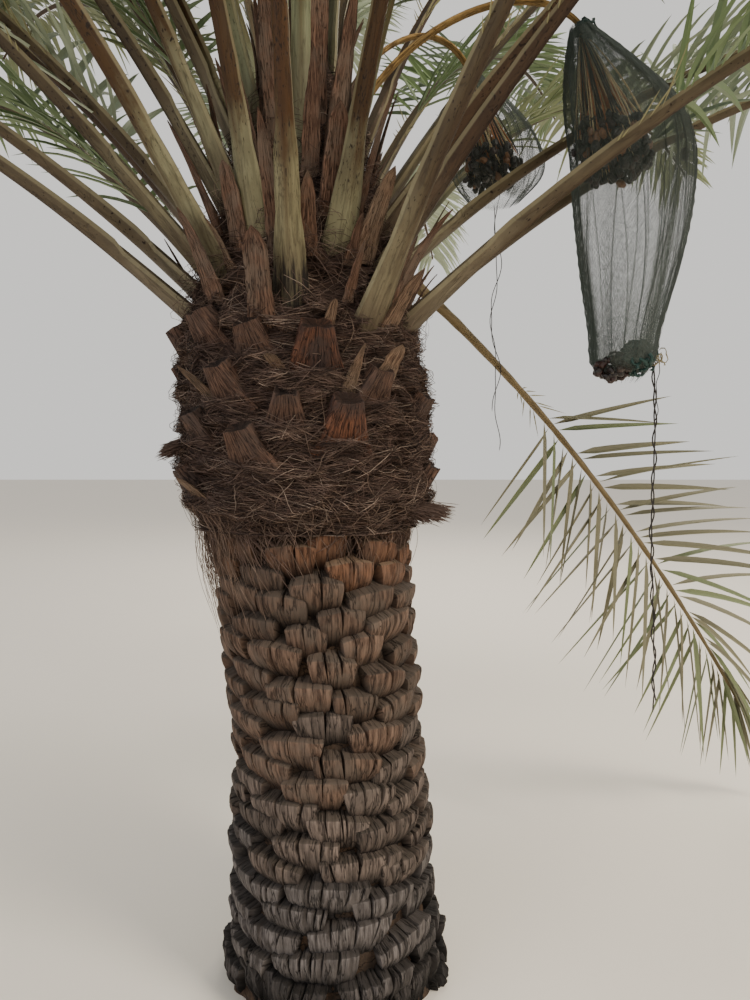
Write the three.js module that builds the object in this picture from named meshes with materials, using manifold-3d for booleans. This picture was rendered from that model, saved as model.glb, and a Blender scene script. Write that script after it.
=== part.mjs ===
// A young date palm: a stout trunk of cut leaf bases with a collar of brown fibre above them,
// a crown of long feather fronds, and two bunches of dates tied up in nets.
// Lengths are in millimetres, angles in degrees. +Z is up, z = 0 is the ground, and the origin
// is the middle of the flat cut under the trunk. Turns are counted from +X towards +Y.
import * as THREE from "three";
import Module from "manifold-3d";

const wasm = await Module();
wasm.setup();

// Trunk. The rows of radii are [height, radius].
const TRUNK_LEAN = 80; // how far the top leans towards -X
const LEAN_TOP = 1700; // the height where the lean ends
const LEAN_POWER = 2.5;
const TRUNK_SIDES = 14;
const STEM_RADII = [
  [0, 277],
  [80, 258],
  [250, 235],
  [600, 219],
  [1256, 222],
];
const FIBRE_RADII = [
  [1222, 268], // the lip of the collar, which hangs over the leaf bases
  [1285, 306],
  [1450, 318],
  [1580, 312],
  [1700, 296],
  [1800, 264],
  [1950, 214],
  [2120, 160],
  [2300, 110],
  [2420, 68],
];
const TRUNK_TOP = 2500;
const TOP_RADIUS = 36;

// Cut leaf bases that cover the lower trunk in a spiral
const GOLDEN_TURN = 137.508;
const BASE = {
  count: 97,
  first: 62, // the height of the first one's top edge
  rise: 12.4, // from each one to the next
  height: 60,
  halfTurn: 25.5,
  columns: 3,
  root: 45, // how far it runs into the stem
  top: 42, // how far its cut top stands out of the stem
  foot: 8,
  sideShare: 0.6, // how much of that is left at its two ends
  bevel: 6,
  dip: 10, // how much lower the two ends of its front edge are
  sizes: [0.75, 1.25],
};

// Cut frond stubs that stand out of the fibre. The shown ones are placed from the photograph,
// the hidden ones go on by the same spiral, and the tall ones are dry sheaths among the fronds.
const STUB = { length: 112, foot: 98, head: 72, thick: 46, lean: 31, sink: 6, bevel: 0.8 };
const SHOWN_STUBS = [
  { turn: -147, height: 1330, size: 1.0 },
  { turn: -109, height: 1419, size: 1.1 },
  { turn: -136, height: 1466, size: 0.8 },
  { turn: -68, height: 1478, size: 1.1 },
  { turn: -23, height: 1510, size: 0.9 },
  { turn: -92, height: 1505, size: 0.85 },
  { turn: -53, height: 1560, size: 1.0 },
  { turn: -118, height: 1566, size: 1.05 },
  { turn: -79, height: 1638, size: 1.1 },
  { turn: -106, height: 1660, size: 0.9 },
  { turn: -130, height: 1690, size: 1.0 },
];
const HIDDEN_STUBS = { count: 14, turn: -5, over: 200, low: 1320, high: 1690, sizes: [0.9, 1.1] };
const TALL_STUB_LEAN = 16;
const TALL_STUBS = [
  { turn: -102, height: 1775, size: 0.62, length: 230 },
  { turn: -122, height: 1960, size: 0.55, length: 210 },
  { turn: -66, height: 2060, size: 0.6, length: 260 },
  { turn: -38, height: 1830, size: 0.6, length: 220 },
  { turn: 140, height: 1830, size: 0.6, length: 200 },
  { turn: 60, height: 1900, size: 0.6, length: 210 },
];

// Ribs of the fronds. The rows are [length along the rib, size across it].
const STALK_LENGTH = 820; // from the foot to the first leaflet
const STALK_STATIONS = [0, 90, 250, 520, STALK_LENGTH];
const BLADE_STATIONS = 16;
const RIB_WIDTHS = [
  [0, 108],
  [90, 84],
  [250, 56],
  [540, 39],
  [880, 32],
  [1900, 23],
  [3200, 10],
];
const RIB_DEPTHS = [
  [0, 58],
  [90, 50],
  [250, 42],
  [540, 34],
  [880, 28],
  [1900, 19],
  [3200, 8],
];
const RIB = {
  inset: 0.78, // the line starts at this share of the trunk's radius
  edge: 0.3, // the flat upper face, as a share of the depth above the line
  keel: 0.7, // the keel, as a share of the depth under it
  cheekWidth: 0.86,
  cheekDrop: 0.35,
  point: 190, // the last leaflet, past the rib's end
  leanPower: 1.5, // how late along the rib the lean grows
  twist: 34, // at most, at the tip
  rollOver: 500, // the length over which a rolled frond turns
  youngShare: 0.55, // how thin the ribs at the very top are
};
const LINE_STEPS = 240;

// Leaflets. A pair of values is for the foot and the tip of the blade.
const LEAFLET = {
  length: 430,
  spread: [60, 26], // from the rib's direction
  rise: [30, 14], // over the plane of the rib's face
  droop: 0.1, // of its length
  shares: [0.45, 1.0], // of its length, at the blade's ends and middle
  span: [0.12, 0.92], // the part of a half wave that gives the length along the blade
  tries: [1, 0.75, 0.5], // shares of its length that a crowded leaflet may keep
};
const CLEAR = 2.5; // between leaflets of different fronds
const MEET_GAP = 0.4; // between a frond's foot and the trunk

// One row for each frond that the photograph shows: its turn, the height of its foot, its lean
// from upright at the foot and at the tip, and its length.
const SHOWN_FRONDS = [
  { turn: -168, height: 1730, lean: 50, tip: 112, length: 2900 },
  { turn: -176, height: 1790, lean: 48, tip: 110, length: 3000 },
  { turn: -163, height: 1830, lean: 40, tip: 100, length: 3050 },
  { turn: -178, height: 1910, lean: 40, tip: 100, length: 3100 },
  { turn: -134, height: 1800, lean: 35, tip: 96, length: 3100 },
  { turn: -165, height: 1990, lean: 30, tip: 92, length: 3100 },
  { turn: -147, height: 1990, lean: 24, tip: 86, length: 3100 },
  { turn: -174, height: 2120, lean: 23, tip: 82, length: 3000 },
  { turn: -146, height: 2190, lean: 14, tip: 72, length: 2900 },
  { turn: -114, height: 1870, lean: 17, tip: 80, length: 3100 },
  { turn: -90, height: 1700, lean: 16, tip: 88, length: 3100 },
  { turn: -84, height: 2090, lean: 7, tip: 66, length: 2950 },
  { turn: -60, height: 1870, lean: 22, tip: 85, length: 3100 },
  { turn: -44, height: 2060, lean: 22, tip: 80, length: 3050 },
  { turn: -50, height: 1672, lean: 34, tip: 92, length: 3100 },
  { turn: -26, height: 1830, lean: 38, tip: 94, length: 3100 },
  { turn: -13, height: 1930, lean: 38, tip: 94, length: 3100 },
  { turn: 14, height: 1860, lean: 50, tip: 106, length: 3000 },
  { turn: -17, height: 1700, lean: 50, tip: 110, length: 3000 },
];
// The old frond that hangs down on the right, rolled so that its blade faces the front
const HANGING_FROND = { turn: 29, height: 1985, lean: 108, tip: 142, length: 2350 };
const HANGING_POWER = 0.38;
const HANGING_ROLL = -62;
// The fronds of the hidden side, from the oldest and lowest to the youngest
const BACK = {
  count: 18,
  bunchPlace: 16, // the place in the spiral where the small bunch's stalk comes out instead
  asidePlace: 3, // the frond that stands aside of the small bunch, and by how much
  asideTurn: 12,
  turns: [12, 188],
  heights: [1720, 2280],
  leans: [52, 12],
  tips: [112, 74],
  lengths: [3100, 2900],
};
// The youngest fronds, still upright in the middle
const YOUNG = { count: 3, turn: 40, height: 2330, rise: 40, lean: 5, tip: 42, length: 2450 };
const TWIST_STEP = 2.4;

// Bunches of dates. Each hangs in its net from a knot, with rings of the net at a drop under
// the knot and a shift towards +X, and its flat stalk bows out of the crown.
const BUNCHES = [
  {
    name: "large",
    foot: { turn: -2, height: 2160 },
    knot: new THREE.Vector3(635, 0, 2503),
    rings: [
      { drop: 0, radius: 24, shift: 0 },
      { drop: 105, radius: 88, shift: 55 },
      { drop: 215, radius: 140, shift: 110 },
      { drop: 320, radius: 154, shift: 138 },
      { drop: 430, radius: 150, shift: 142 },
      { drop: 620, radius: 122, shift: 138 },
      { drop: 790, radius: 90, shift: 130 },
      { drop: 860, radius: 84, shift: 128 },
      { drop: 912, radius: 46, shift: 127 },
    ],
  },
  {
    name: "small",
    foot: { turn: 36, height: 2215 },
    knot: new THREE.Vector3(391, 300, 2528),
    rings: [
      { drop: 0, radius: 22, shift: 0 },
      { drop: 90, radius: 74, shift: 40 },
      { drop: 200, radius: 122, shift: 78 },
      { drop: 300, radius: 128, shift: 82 },
      { drop: 380, radius: 66, shift: 74 },
    ],
  },
];
const BUNCH_SIDES = 12;
const STALK = { width: 44, thick: 20, taper: 0.45, inset: 0.7, out: 60, rise: 300, over: 330 };
const STALK_STEPS = 9;

const rad = THREE.MathUtils.degToRad;
const mix = THREE.MathUtils.lerp;
const UP = new THREE.Vector3(0, 0, 1);

// A value between the rows of a [place, value] list.
function along(rows, place) {
  for (let i = 1; i < rows.length; i++) {
    const [a, va] = rows[i - 1];
    const [b, vb] = rows[i];
    if (place <= b) return va + ((vb - va) * Math.max(0, place - a)) / (b - a);
  }
  return rows.at(-1)[1];
}

// The same row of random numbers for the same seed.
function randomRow(seed) {
  let state = seed;
  return () => {
    state = (state * 1664525 + 1013904223) % 4294967296;
    return state / 4294967296;
  };
}

function axisAt(z) {
  const share = Math.min(Math.max(z, 0) / LEAN_TOP, 1);
  const x = -TRUNK_LEAN * Math.sin((Math.PI / 2) * share) ** LEAN_POWER;
  return new THREE.Vector3(x, 0, z);
}

function surfaceRadius(z) {
  return along(z < FIBRE_RADII[0][0] ? STEM_RADII : FIBRE_RADII, z);
}

// The direction away from the axis at a turn, and the direction to the right of it seen from
// the axis.
function outAt(turn) {
  return new THREE.Vector3(Math.cos(rad(turn)), Math.sin(rad(turn)), 0);
}

function sideAt(turn) {
  return new THREE.Vector3(Math.sin(rad(turn)), -Math.cos(rad(turn)), 0);
}

// A solid from its corners and faces, turned inside out where the faces ran the wrong way.
function solidOf(points, faces) {
  const build = (triangles) =>
    new wasm.Manifold(
      new wasm.Mesh({
        numProp: 3,
        vertProperties: new Float32Array(points.flatMap((p) => [p.x, p.y, p.z])),
        triVerts: new Uint32Array(triangles.flat()),
      }),
    );
  const solid = build(faces);
  return solid.volume() > 0 ? solid : build(faces.map((face) => face.toReversed()));
}

// The faces between two rings of n corners that start at a and b.
function bandFaces(a, b, n) {
  const faces = [];
  for (let i = 0; i < n; i++) {
    const j = (i + 1) % n;
    faces.push([a + i, a + j, b + j], [a + i, b + j, b + i]);
  }
  return faces;
}

// The flat end on a ring of n corners that starts at a.
function endFaces(a, n, last) {
  const faces = [];
  for (let i = 1; i + 1 < n; i++) {
    faces.push(last ? [a, a + i, a + i + 1] : [a, a + i + 1, a + i]);
  }
  return faces;
}

function loft(rings) {
  const n = rings[0].length;
  const last = (rings.length - 1) * n;
  const bands = rings.slice(1).flatMap((_, k) => bandFaces(k * n, (k + 1) * n, n));
  return solidOf(rings.flat(), [...bands, ...endFaces(0, n, false), ...endFaces(last, n, true)]);
}

function ringRound(centre, radius, sides) {
  return Array.from({ length: sides }, (_, i) =>
    centre.clone().addScaledVector(outAt((360 * i) / sides), radius),
  );
}

// The stem, the collar of fibre and the tip, swollen by extra.
function trunkCore(extra) {
  const rows = [...STEM_RADII, ...FIBRE_RADII, [TRUNK_TOP + extra, TOP_RADIUS]];
  return loft(rows.map(([z, r]) => ringRound(axisAt(z), r + extra, TRUNK_SIDES)));
}

// One cut leaf base: a block bent round the stem that stands out most at its cut top, with its
// front face running in towards its foot.
function leafBase(turn, top, size) {
  const stem = along(STEM_RADII, top);
  const foot = top - BASE.height;
  const rings = [];
  for (let k = 0; k < BASE.columns; k++) {
    const share = (2 * k) / (BASE.columns - 1) - 1;
    const out = outAt(turn + share * BASE.halfTurn);
    const drop = BASE.bevel + BASE.dip * Math.abs(share);
    const standsOut = BASE.top * size * mix(1, BASE.sideShare, Math.abs(share));
    const at = (r, z) => axisAt(z).addScaledVector(out, r);
    rings.push([
      at(stem - BASE.root, foot),
      at(stem - BASE.root, top),
      at(stem + standsOut, top - drop),
      at(stem + BASE.foot, foot),
    ]);
  }
  return loft(rings);
}

// A cut frond stub: a flat tapering block that leans out of the fibre, with a square top.
function stub(row, extra) {
  const out = outAt(row.turn);
  const side = sideAt(row.turn);
  const lean = rad(row.lean ?? STUB.lean);
  const run = UP.clone().multiplyScalar(Math.cos(lean)).addScaledVector(out, Math.sin(lean));
  const front = new THREE.Vector3().crossVectors(run, side);
  const half = (row.length ?? STUB.length * row.size) / 2 + extra;
  const middle = axisAt(row.height).addScaledVector(out, surfaceRadius(row.height) - STUB.sink);
  const rings = [-1, 1].map((end) => {
    const w = ((end < 0 ? STUB.foot : STUB.head) * row.size) / 2 + extra;
    const t = (STUB.thick * row.size) / 2 + extra;
    const centre = middle.clone().addScaledVector(run, end * half);
    const corner = (x, y) => centre.clone().addScaledVector(side, x).addScaledVector(front, y);
    return [corner(-w, -t), corner(w, -t), corner(w * STUB.bevel, t), corner(-w * STUB.bevel, t)];
  });
  return loft(rings);
}

function stubRows() {
  const hidden = Array.from({ length: HIDDEN_STUBS.count }, (_, i) => ({
    turn: HIDDEN_STUBS.turn + ((i * GOLDEN_TURN) % HIDDEN_STUBS.over),
    height: mix(HIDDEN_STUBS.low, HIDDEN_STUBS.high, (i + 0.5) / HIDDEN_STUBS.count),
    size: mix(...HIDDEN_STUBS.sizes, ((i * GOLDEN_TURN) / 360) % 1),
  }));
  const tall = TALL_STUBS.map((row) => ({ lean: TALL_STUB_LEAN, ...row }));
  return [...SHOWN_STUBS, ...hidden, ...tall];
}

function palmTrunk() {
  let trunk = trunkCore(0);
  for (const row of stubRows()) trunk = trunk.add(stub(row, 0));
  const random = randomRow(7);
  for (let i = 0; i < BASE.count; i++) {
    const size = mix(...BASE.sizes, random());
    trunk = trunk.add(leafBase(i * GOLDEN_TURN, BASE.first + i * BASE.rise, size));
  }
  return trunk;
}

// The room that the upper trunk takes, which the fronds' feet are cut by.
function trunkRoom() {
  let room = trunkCore(MEET_GAP);
  for (const row of stubRows()) room = room.add(stub(row, MEET_GAP));
  return room;
}

// The stations along a frond's rib: where each is, the direction the rib runs there, the side
// it widens to and the way its upper face looks.
function ribLine(f) {
  const blade = f.length - STALK_LENGTH;
  const places = [...STALK_STATIONS];
  for (let i = 1; i <= BLADE_STATIONS; i++) places.push(STALK_LENGTH + (blade * i) / BLADE_STATIONS);
  const out = outAt(f.turn);
  const side = sideAt(f.turn);
  const runAt = (s) => {
    const lean = rad(mix(f.lean, f.tip, (s / f.length) ** f.power));
    return UP.clone().multiplyScalar(Math.cos(lean)).addScaledVector(out, Math.sin(lean));
  };
  const radius = surfaceRadius(f.height);
  const at = axisAt(f.height).addScaledVector(out, radius * RIB.inset);
  let s = 0;
  return places.map((place) => {
    const steps = Math.ceil((LINE_STEPS * (place - s)) / f.length);
    const step = steps ? (place - s) / steps : 0;
    for (let k = 0; k < steps; k++) at.addScaledVector(runAt(s + (k + 0.5) * step), step);
    s = place;
    const run = runAt(s);
    const twist = rad(f.twist * (s / f.length) ** 2 + f.roll * Math.min(1, s / RIB.rollOver));
    return {
      s,
      at: at.clone(),
      run,
      side: side.clone().applyAxisAngle(run, twist),
      face: new THREE.Vector3().crossVectors(side, run).applyAxisAngle(run, twist),
      thin: mix(RIB.youngShare, 1, Math.min(1, radius / FIBRE_RADII[1][1])),
    };
  });
}

// The rib's section at a station: five corners on the stalk, three on the blade.
function ribSection(station, extra) {
  const w = (along(RIB_WIDTHS, station.s) * station.thin) / 2 + extra;
  const d = along(RIB_DEPTHS, station.s) * station.thin + extra;
  const corner = (x, y) =>
    station.at.clone().addScaledVector(station.side, x).addScaledVector(station.face, y);
  const left = corner(-w, d * RIB.edge + extra);
  const right = corner(w, d * RIB.edge + extra);
  const keel = corner(0, -d * RIB.keel);
  if (station.s > STALK_LENGTH) return [left, keel, right];
  const cheek = (hand) => corner(hand * w * RIB.cheekWidth, -d * RIB.cheekDrop);
  return [left, cheek(-1), keel, cheek(1), right];
}

// Where the leaflet between two stations ends, on the left (-1) or right (1).
function leafletTip(f, from, to, hand, share) {
  const u = (from.s - STALK_LENGTH) / (f.length - STALK_LENGTH);
  const wave = Math.sin(Math.PI * mix(...LEAFLET.span, u));
  const reach = LEAFLET.length * share * mix(...LEAFLET.shares, wave);
  const spread = rad(mix(...LEAFLET.spread, u));
  const rise = rad(mix(...LEAFLET.rise, u));
  const away = from.side.clone().multiplyScalar(hand * Math.cos(rise));
  away.addScaledVector(from.face, Math.sin(rise));
  const way = from.run.clone().multiplyScalar(Math.cos(spread));
  way.addScaledVector(away, Math.sin(spread)).addScaledVector(UP, -LEAFLET.droop);
  return from.at.clone().lerp(to.at, 0.5).addScaledVector(way, reach);
}

// The faces from the stalk's last section, of five corners at a, to the blade's first one, of
// three at b.
function neckFaces(a, b) {
  return [
    [a, a + 1, b],
    [a + 1, b + 1, b],
    [a + 1, a + 2, b + 1],
    [a + 2, a + 3, b + 1],
    [a + 3, b + 2, b + 1],
    [a + 3, a + 4, b + 2],
    [a + 4, a, b],
    [a + 4, b, b + 2],
  ];
}

function leafletKey(k, hand) {
  return `${k},${hand}`;
}

// A frond as one solid: the rib, with a pointed leaflet wherever kept has a share for it.
function frondSolid(f, kept, extra) {
  const sections = f.line.map((station) => ribSection(station, extra));
  const points = sections.flat();
  const starts = sections.map((_, k) => sections.slice(0, k).flat().length);
  const faces = endFaces(0, sections[0].length, false);
  const addSide = (k, hand) => {
    const [a, b] = [starts[k], starts[k + 1]];
    const i = hand < 0 ? 0 : 1;
    const corners = [a + i, a + i + 1, b + i + 1, b + i];
    const share = kept[leafletKey(k, hand)];
    if (share) {
      points.push(leafletTip(f, f.line[k], f.line[k + 1], hand, share));
      corners.forEach((c, n) => faces.push([c, corners[(n + 1) % 4], points.length - 1]));
    } else {
      faces.push([corners[0], corners[1], corners[2]], [corners[0], corners[2], corners[3]]);
    }
  };
  for (let k = 0; k + 1 < sections.length; k++) {
    const [a, b] = [starts[k], starts[k + 1]];
    if (sections[k + 1].length === 5) faces.push(...bandFaces(a, b, 5));
    else if (sections[k].length === 5) faces.push(...neckFaces(a, b));
    else {
      faces.push([a + 2, a, b], [a + 2, b, b + 2]);
      addSide(k, -1);
      addSide(k, 1);
    }
  }
  const end = f.line.at(-1);
  points.push(end.at.clone().addScaledVector(end.run, RIB.point + extra));
  const last = starts.at(-1);
  for (let i = 0; i < 3; i++) faces.push([last + i, last + ((i + 1) % 3), points.length - 1]);
  return solidOf(points, faces);
}

// A leaflet on its own, a little too thick, to try whether it has room.
function leafletProbe(f, k, hand, share) {
  const [from, to] = [f.line[k], f.line[k + 1]];
  const grow = (p, run, face) =>
    p.clone().addScaledVector(from.run, run * CLEAR).addScaledVector(from.face, face * CLEAR);
  const square = (topA, topB, lowB, lowA) => [
    grow(topA, -1, 1),
    grow(topB, 1, 1),
    grow(lowB, 1, -1),
    grow(lowA, -1, -1),
  ];
  const edge = hand < 0 ? 0 : 2;
  const [a, b] = [ribSection(from, 0), ribSection(to, 0)];
  const tip = leafletTip(f, from, to, hand, share);
  return loft([square(a[edge], b[edge], b[1], a[1]), square(tip, tip, tip, tip)]);
}

function boxed(solid, owner) {
  return { solid, box: solid.boundingBox(), owner };
}

function boxesMeet(a, b) {
  return [0, 1, 2].every((i) => a.min[i] <= b.max[i] && b.min[i] <= a.max[i]);
}

function meetsAny(one, others) {
  return others.some(
    (other) =>
      other.owner !== one.owner &&
      boxesMeet(one.box, other.box) &&
      one.solid.intersect(other.solid).volume() > 0,
  );
}

function largest(solid) {
  return solid.decompose().reduce((a, b) => (a.volume() > b.volume() ? a : b));
}

function backFronds() {
  const rows = [];
  for (let i = 0; i < BACK.count; i++) {
    if (i === BACK.bunchPlace) continue;
    const age = (i + 0.5) / BACK.count;
    const aside = i === BACK.asidePlace ? BACK.asideTurn : 0;
    rows.push({
      name: `frond_back_${i + 1}`,
      turn: mix(...BACK.turns, ((i * GOLDEN_TURN) / 360) % 1) + aside,
      height: mix(...BACK.heights, age),
      lean: mix(...BACK.leans, age),
      tip: mix(...BACK.tips, age),
      length: mix(...BACK.lengths, age),
    });
  }
  return rows;
}

function youngFronds() {
  return Array.from({ length: YOUNG.count }, (_, i) => ({
    name: `frond_young_${i + 1}`,
    turn: YOUNG.turn + (i * 360) / YOUNG.count,
    height: YOUNG.height + YOUNG.rise * i,
    lean: YOUNG.lean,
    tip: YOUNG.tip,
    length: YOUNG.length,
  }));
}

// Every frond, with what they share filled in and its line worked out.
function frondRows() {
  const rows = SHOWN_FRONDS.map((row, i) => ({ ...row, name: `frond_front_${i + 1}` }));
  rows.push({ ...HANGING_FROND, name: "frond_hanging", power: HANGING_POWER, roll: HANGING_ROLL });
  rows.push(...backFronds(), ...youngFronds());
  return rows.map((row, i) => {
    const twist = RIB.twist * Math.sin(i * TWIST_STEP);
    const f = { power: RIB.leanPower, roll: 0, twist, ...row };
    f.line = ribLine(f);
    return f;
  });
}

// Deals out the leaflets from the foot of the blades to their tips. One that would touch
// another frond, the trunk or a bunch is tried shorter, and left out where that doesn't help.
function dealLeaflets(fronds, fixed) {
  const kept = new Map(fronds.map((f) => [f, {}]));
  const placed = [...fixed];
  const first = STALK_STATIONS.length;
  for (let k = first; k + 1 < first + BLADE_STATIONS; k++) {
    for (const f of fronds) {
      for (const hand of [-1, 1]) {
        const fits = LEAFLET.tries
          .map((share) => ({ share, ...boxed(leafletProbe(f, k, hand, share), f) }))
          .find((probe) => !meetsAny(probe, placed));
        if (!fits) continue;
        kept.get(f)[leafletKey(k, hand)] = fits.share;
        placed.push(fits);
      }
    }
  }
  return kept;
}

// A bunch in its net, which leans as it hangs.
function bunchSolid(row, extra) {
  return loft(
    row.rings.map(({ drop, radius, shift }) => {
      const centre = row.knot.clone().add(new THREE.Vector3(shift, 0, -drop));
      return ringRound(centre, radius + extra, BUNCH_SIDES);
    }),
  );
}

// The flat stalk that rises out of the crown and bows over to a bunch's knot.
function bunchStalk(row, extra) {
  const out = outAt(row.foot.turn);
  const radius = surfaceRadius(row.foot.height) * STALK.inset;
  const foot = axisAt(row.foot.height).addScaledVector(out, radius);
  const top = row.knot.clone().addScaledVector(UP, 1);
  const line = new THREE.CubicBezierCurve3(
    foot,
    foot.clone().addScaledVector(out, STALK.out).addScaledVector(UP, STALK.rise),
    top.clone().addScaledVector(UP, STALK.over).lerp(foot, 0.25),
    top,
  );
  const rings = [];
  for (let i = 0; i <= STALK_STEPS; i++) {
    const share = i / STALK_STEPS;
    const p = line.getPoint(share);
    const run = line.getTangent(share);
    const side = new THREE.Vector3(run.y, -run.x, 0).normalize();
    const face = new THREE.Vector3().crossVectors(side, run);
    const taper = 1 - STALK.taper * share;
    const w = (taper * STALK.width) / 2 + extra;
    const t = (taper * STALK.thick) / 2 + extra;
    const corner = (x, y) => p.clone().addScaledVector(side, x).addScaledVector(face, y);
    rings.push([corner(-w, 0), corner(0, -t), corner(w, 0), corner(0, t)]);
  }
  return loft(rings);
}

function meshOf(name, solid, material) {
  const made = solid.getMesh();
  const geometry = new THREE.BufferGeometry();
  geometry.setAttribute("position", new THREE.BufferAttribute(made.vertProperties, 3));
  geometry.setIndex(new THREE.BufferAttribute(made.triVerts, 1));
  geometry.computeVertexNormals();
  const mesh = new THREE.Mesh(geometry, material);
  mesh.name = name;
  return mesh;
}

const bark = new THREE.MeshStandardMaterial({ color: 0x6e5a48, roughness: 0.95, metalness: 0 });
const leaf = new THREE.MeshStandardMaterial({ color: 0x7f8a63, roughness: 0.6, metalness: 0 });
const straw = new THREE.MeshStandardMaterial({ color: 0xb08a3c, roughness: 0.6, metalness: 0 });
const net = new THREE.MeshStandardMaterial({ color: 0x8c9a86, roughness: 0.8, metalness: 0 });

const palm = new THREE.Group();
palm.add(meshOf("trunk", palmTrunk(), bark));

const room = trunkRoom();
const fixed = [boxed(room, "trunk")];
for (const row of BUNCHES) {
  const netRoom = bunchSolid(row, MEET_GAP);
  const stalk = largest(bunchStalk(row, 0).subtract(room).subtract(netRoom));
  palm.add(meshOf(`bunch_${row.name}`, bunchSolid(row, 0), net));
  palm.add(meshOf(`bunch_${row.name}_stalk`, stalk, straw));
  fixed.push(boxed(netRoom, "bunch"), boxed(bunchStalk(row, MEET_GAP), "bunch"));
}

const fronds = frondRows();
const ribs = fronds.map((f) => boxed(frondSolid(f, {}, MEET_GAP), f));
const kept = dealLeaflets(fronds, [...fixed, ...ribs]);
fronds.forEach((f, i) => {
  let solid = frondSolid(f, kept.get(f), 0);
  const box = solid.boundingBox();
  // Where two feet crowd each other, the later frond gives way.
  for (const other of [...fixed, ...ribs.slice(0, i)]) {
    if (boxesMeet(box, other.box)) solid = solid.subtract(other.solid);
  }
  palm.add(meshOf(f.name, largest(solid), leaf));
});

export default palm;
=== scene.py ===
# %% [markdown]
# A young date palm, told as a lesson in making a plant from arrays of numbers.
# The tree is 4.8 m high and its head 6.3 m across. Its trunk is a stack of cut leaf bases, a
# collar of brown fibre sits on them, forty feather fronds rise out of the fibre, and two bunches
# of dates hang tied up in nets. The construction comes in as a frame of plain solids. Each of
# them is replaced here by finer pieces that follow the same rules, in metres, with z = 0 at the
# ground. Turns are in degrees from +X towards +Y, so the viewer stands at -90.

# %% Load the frame
import math

import bpy
import numpy as np
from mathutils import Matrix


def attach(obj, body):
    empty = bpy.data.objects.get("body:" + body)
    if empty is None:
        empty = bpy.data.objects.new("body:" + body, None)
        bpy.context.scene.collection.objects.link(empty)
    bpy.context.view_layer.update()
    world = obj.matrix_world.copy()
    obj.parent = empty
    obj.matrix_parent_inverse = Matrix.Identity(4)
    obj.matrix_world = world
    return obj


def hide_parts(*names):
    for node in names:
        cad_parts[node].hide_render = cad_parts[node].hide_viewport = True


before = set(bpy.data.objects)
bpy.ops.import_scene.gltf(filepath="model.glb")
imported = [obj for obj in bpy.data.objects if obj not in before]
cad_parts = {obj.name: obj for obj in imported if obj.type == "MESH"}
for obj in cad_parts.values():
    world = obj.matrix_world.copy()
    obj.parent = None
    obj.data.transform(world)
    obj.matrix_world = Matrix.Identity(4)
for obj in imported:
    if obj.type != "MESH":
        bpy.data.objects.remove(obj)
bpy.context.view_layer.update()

# %% [markdown]
# The camera and the light come first, so that each piece can be looked at as it is made. The
# camera stands two metres from the trunk at the height of a standing person's eyes, and tilts a
# little down. The light is a bright overcast sky with a large soft lamp high on the right, and
# weaker ones on the left and behind.

# %% Camera, floor and light
EYE = (0.111, -2.0, 1.43)
TILT_DOWN = 4.11
LENS, SENSOR = 27.04, 36.0  # in millimetres
FARTHEST = 200  # how far the camera sees
LAMPS = {  # place, turn in degrees, size, power, colour
    "lamp_right": ((5.5, -3.5, 7.5), (40, 0, 52), 3.0, 900, 0xFFF4E2),
    "lamp_left": ((-6.0, -5.0, 4.0), (60, 0, -48), 5.0, 180, 0xEEF4FF),
    "lamp_behind": ((1.5, 7.0, 7.0), (-50, 0, -10), 4.0, 420, 0xFFF6E8),
}
SKY, SKY_STRENGTH = 0xF4F2EE, 1.0
FLOOR_HALF = 30.0


def srgb(code):
    """A colour from its code of red, green and blue, as Blender's linear values."""
    part = np.array([(code >> shift & 255) / 255 for shift in (16, 8, 0)])
    linear = np.where(part <= 0.04045, part / 12.92, ((part + 0.055) / 1.055) ** 2.4)
    return (*linear.tolist(), 1.0)


def plain_paint(name, code, roughness=0.6, gloss=0.5):
    """A material of one plain colour."""
    material = bpy.data.materials.new(name)
    material.use_nodes = True
    look = {"Base Color": srgb(code), "Roughness": roughness, "Specular IOR Level": gloss}
    for key, value in look.items():
        material.node_tree.nodes["Principled BSDF"].inputs[key].default_value = value
    return material


def placed(name, data, place=(0, 0, 0), turned=(0, 0, 0)):
    """A new object in the scene, with its turn given in degrees."""
    made = bpy.data.objects.new(name, data)
    made.location = place
    made.rotation_euler = [math.radians(a) for a in turned]
    bpy.context.scene.collection.objects.link(made)
    return made


camera = placed("camera", bpy.data.cameras.new("camera"), EYE, (90 - TILT_DOWN, 0, 0))
camera.data.sensor_width = SENSOR
camera.data.lens = LENS
camera.data.clip_end = FARTHEST
bpy.context.scene.camera = camera

for name, (place, turned, size, power, colour) in LAMPS.items():
    lamp = bpy.data.lights.new(name, "AREA")
    lamp.size = size
    lamp.energy = power
    lamp.color = srgb(colour)[:3]
    placed(name, lamp, place, turned)

world = bpy.data.worlds.new("sky")
world.use_nodes = True
world.node_tree.nodes["Background"].inputs["Color"].default_value = srgb(SKY)
world.node_tree.nodes["Background"].inputs["Strength"].default_value = SKY_STRENGTH
bpy.context.scene.world = world

floor_mesh = bpy.data.meshes.new("floor")
floor_corners = [(x * FLOOR_HALF, y * FLOOR_HALF, 0) for x, y in ((-1, -1), (1, -1), (1, 1), (-1, 1))]
floor_mesh.from_pydata(floor_corners, [], [(0, 1, 2, 3)])
floor_mesh.materials.append(plain_paint("pale_floor", 0xDAD3C8, 0.9))
placed("floor", floor_mesh)
print(len(LAMPS), "lamps, the camera and the floor")

# %% [markdown]
# The trunk is a lathe form whose axis leans, so every later piece asks the same few functions
# where the axis is, how wide the trunk is there and which way is outwards. The numbers repeat
# those of the frame.

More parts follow.
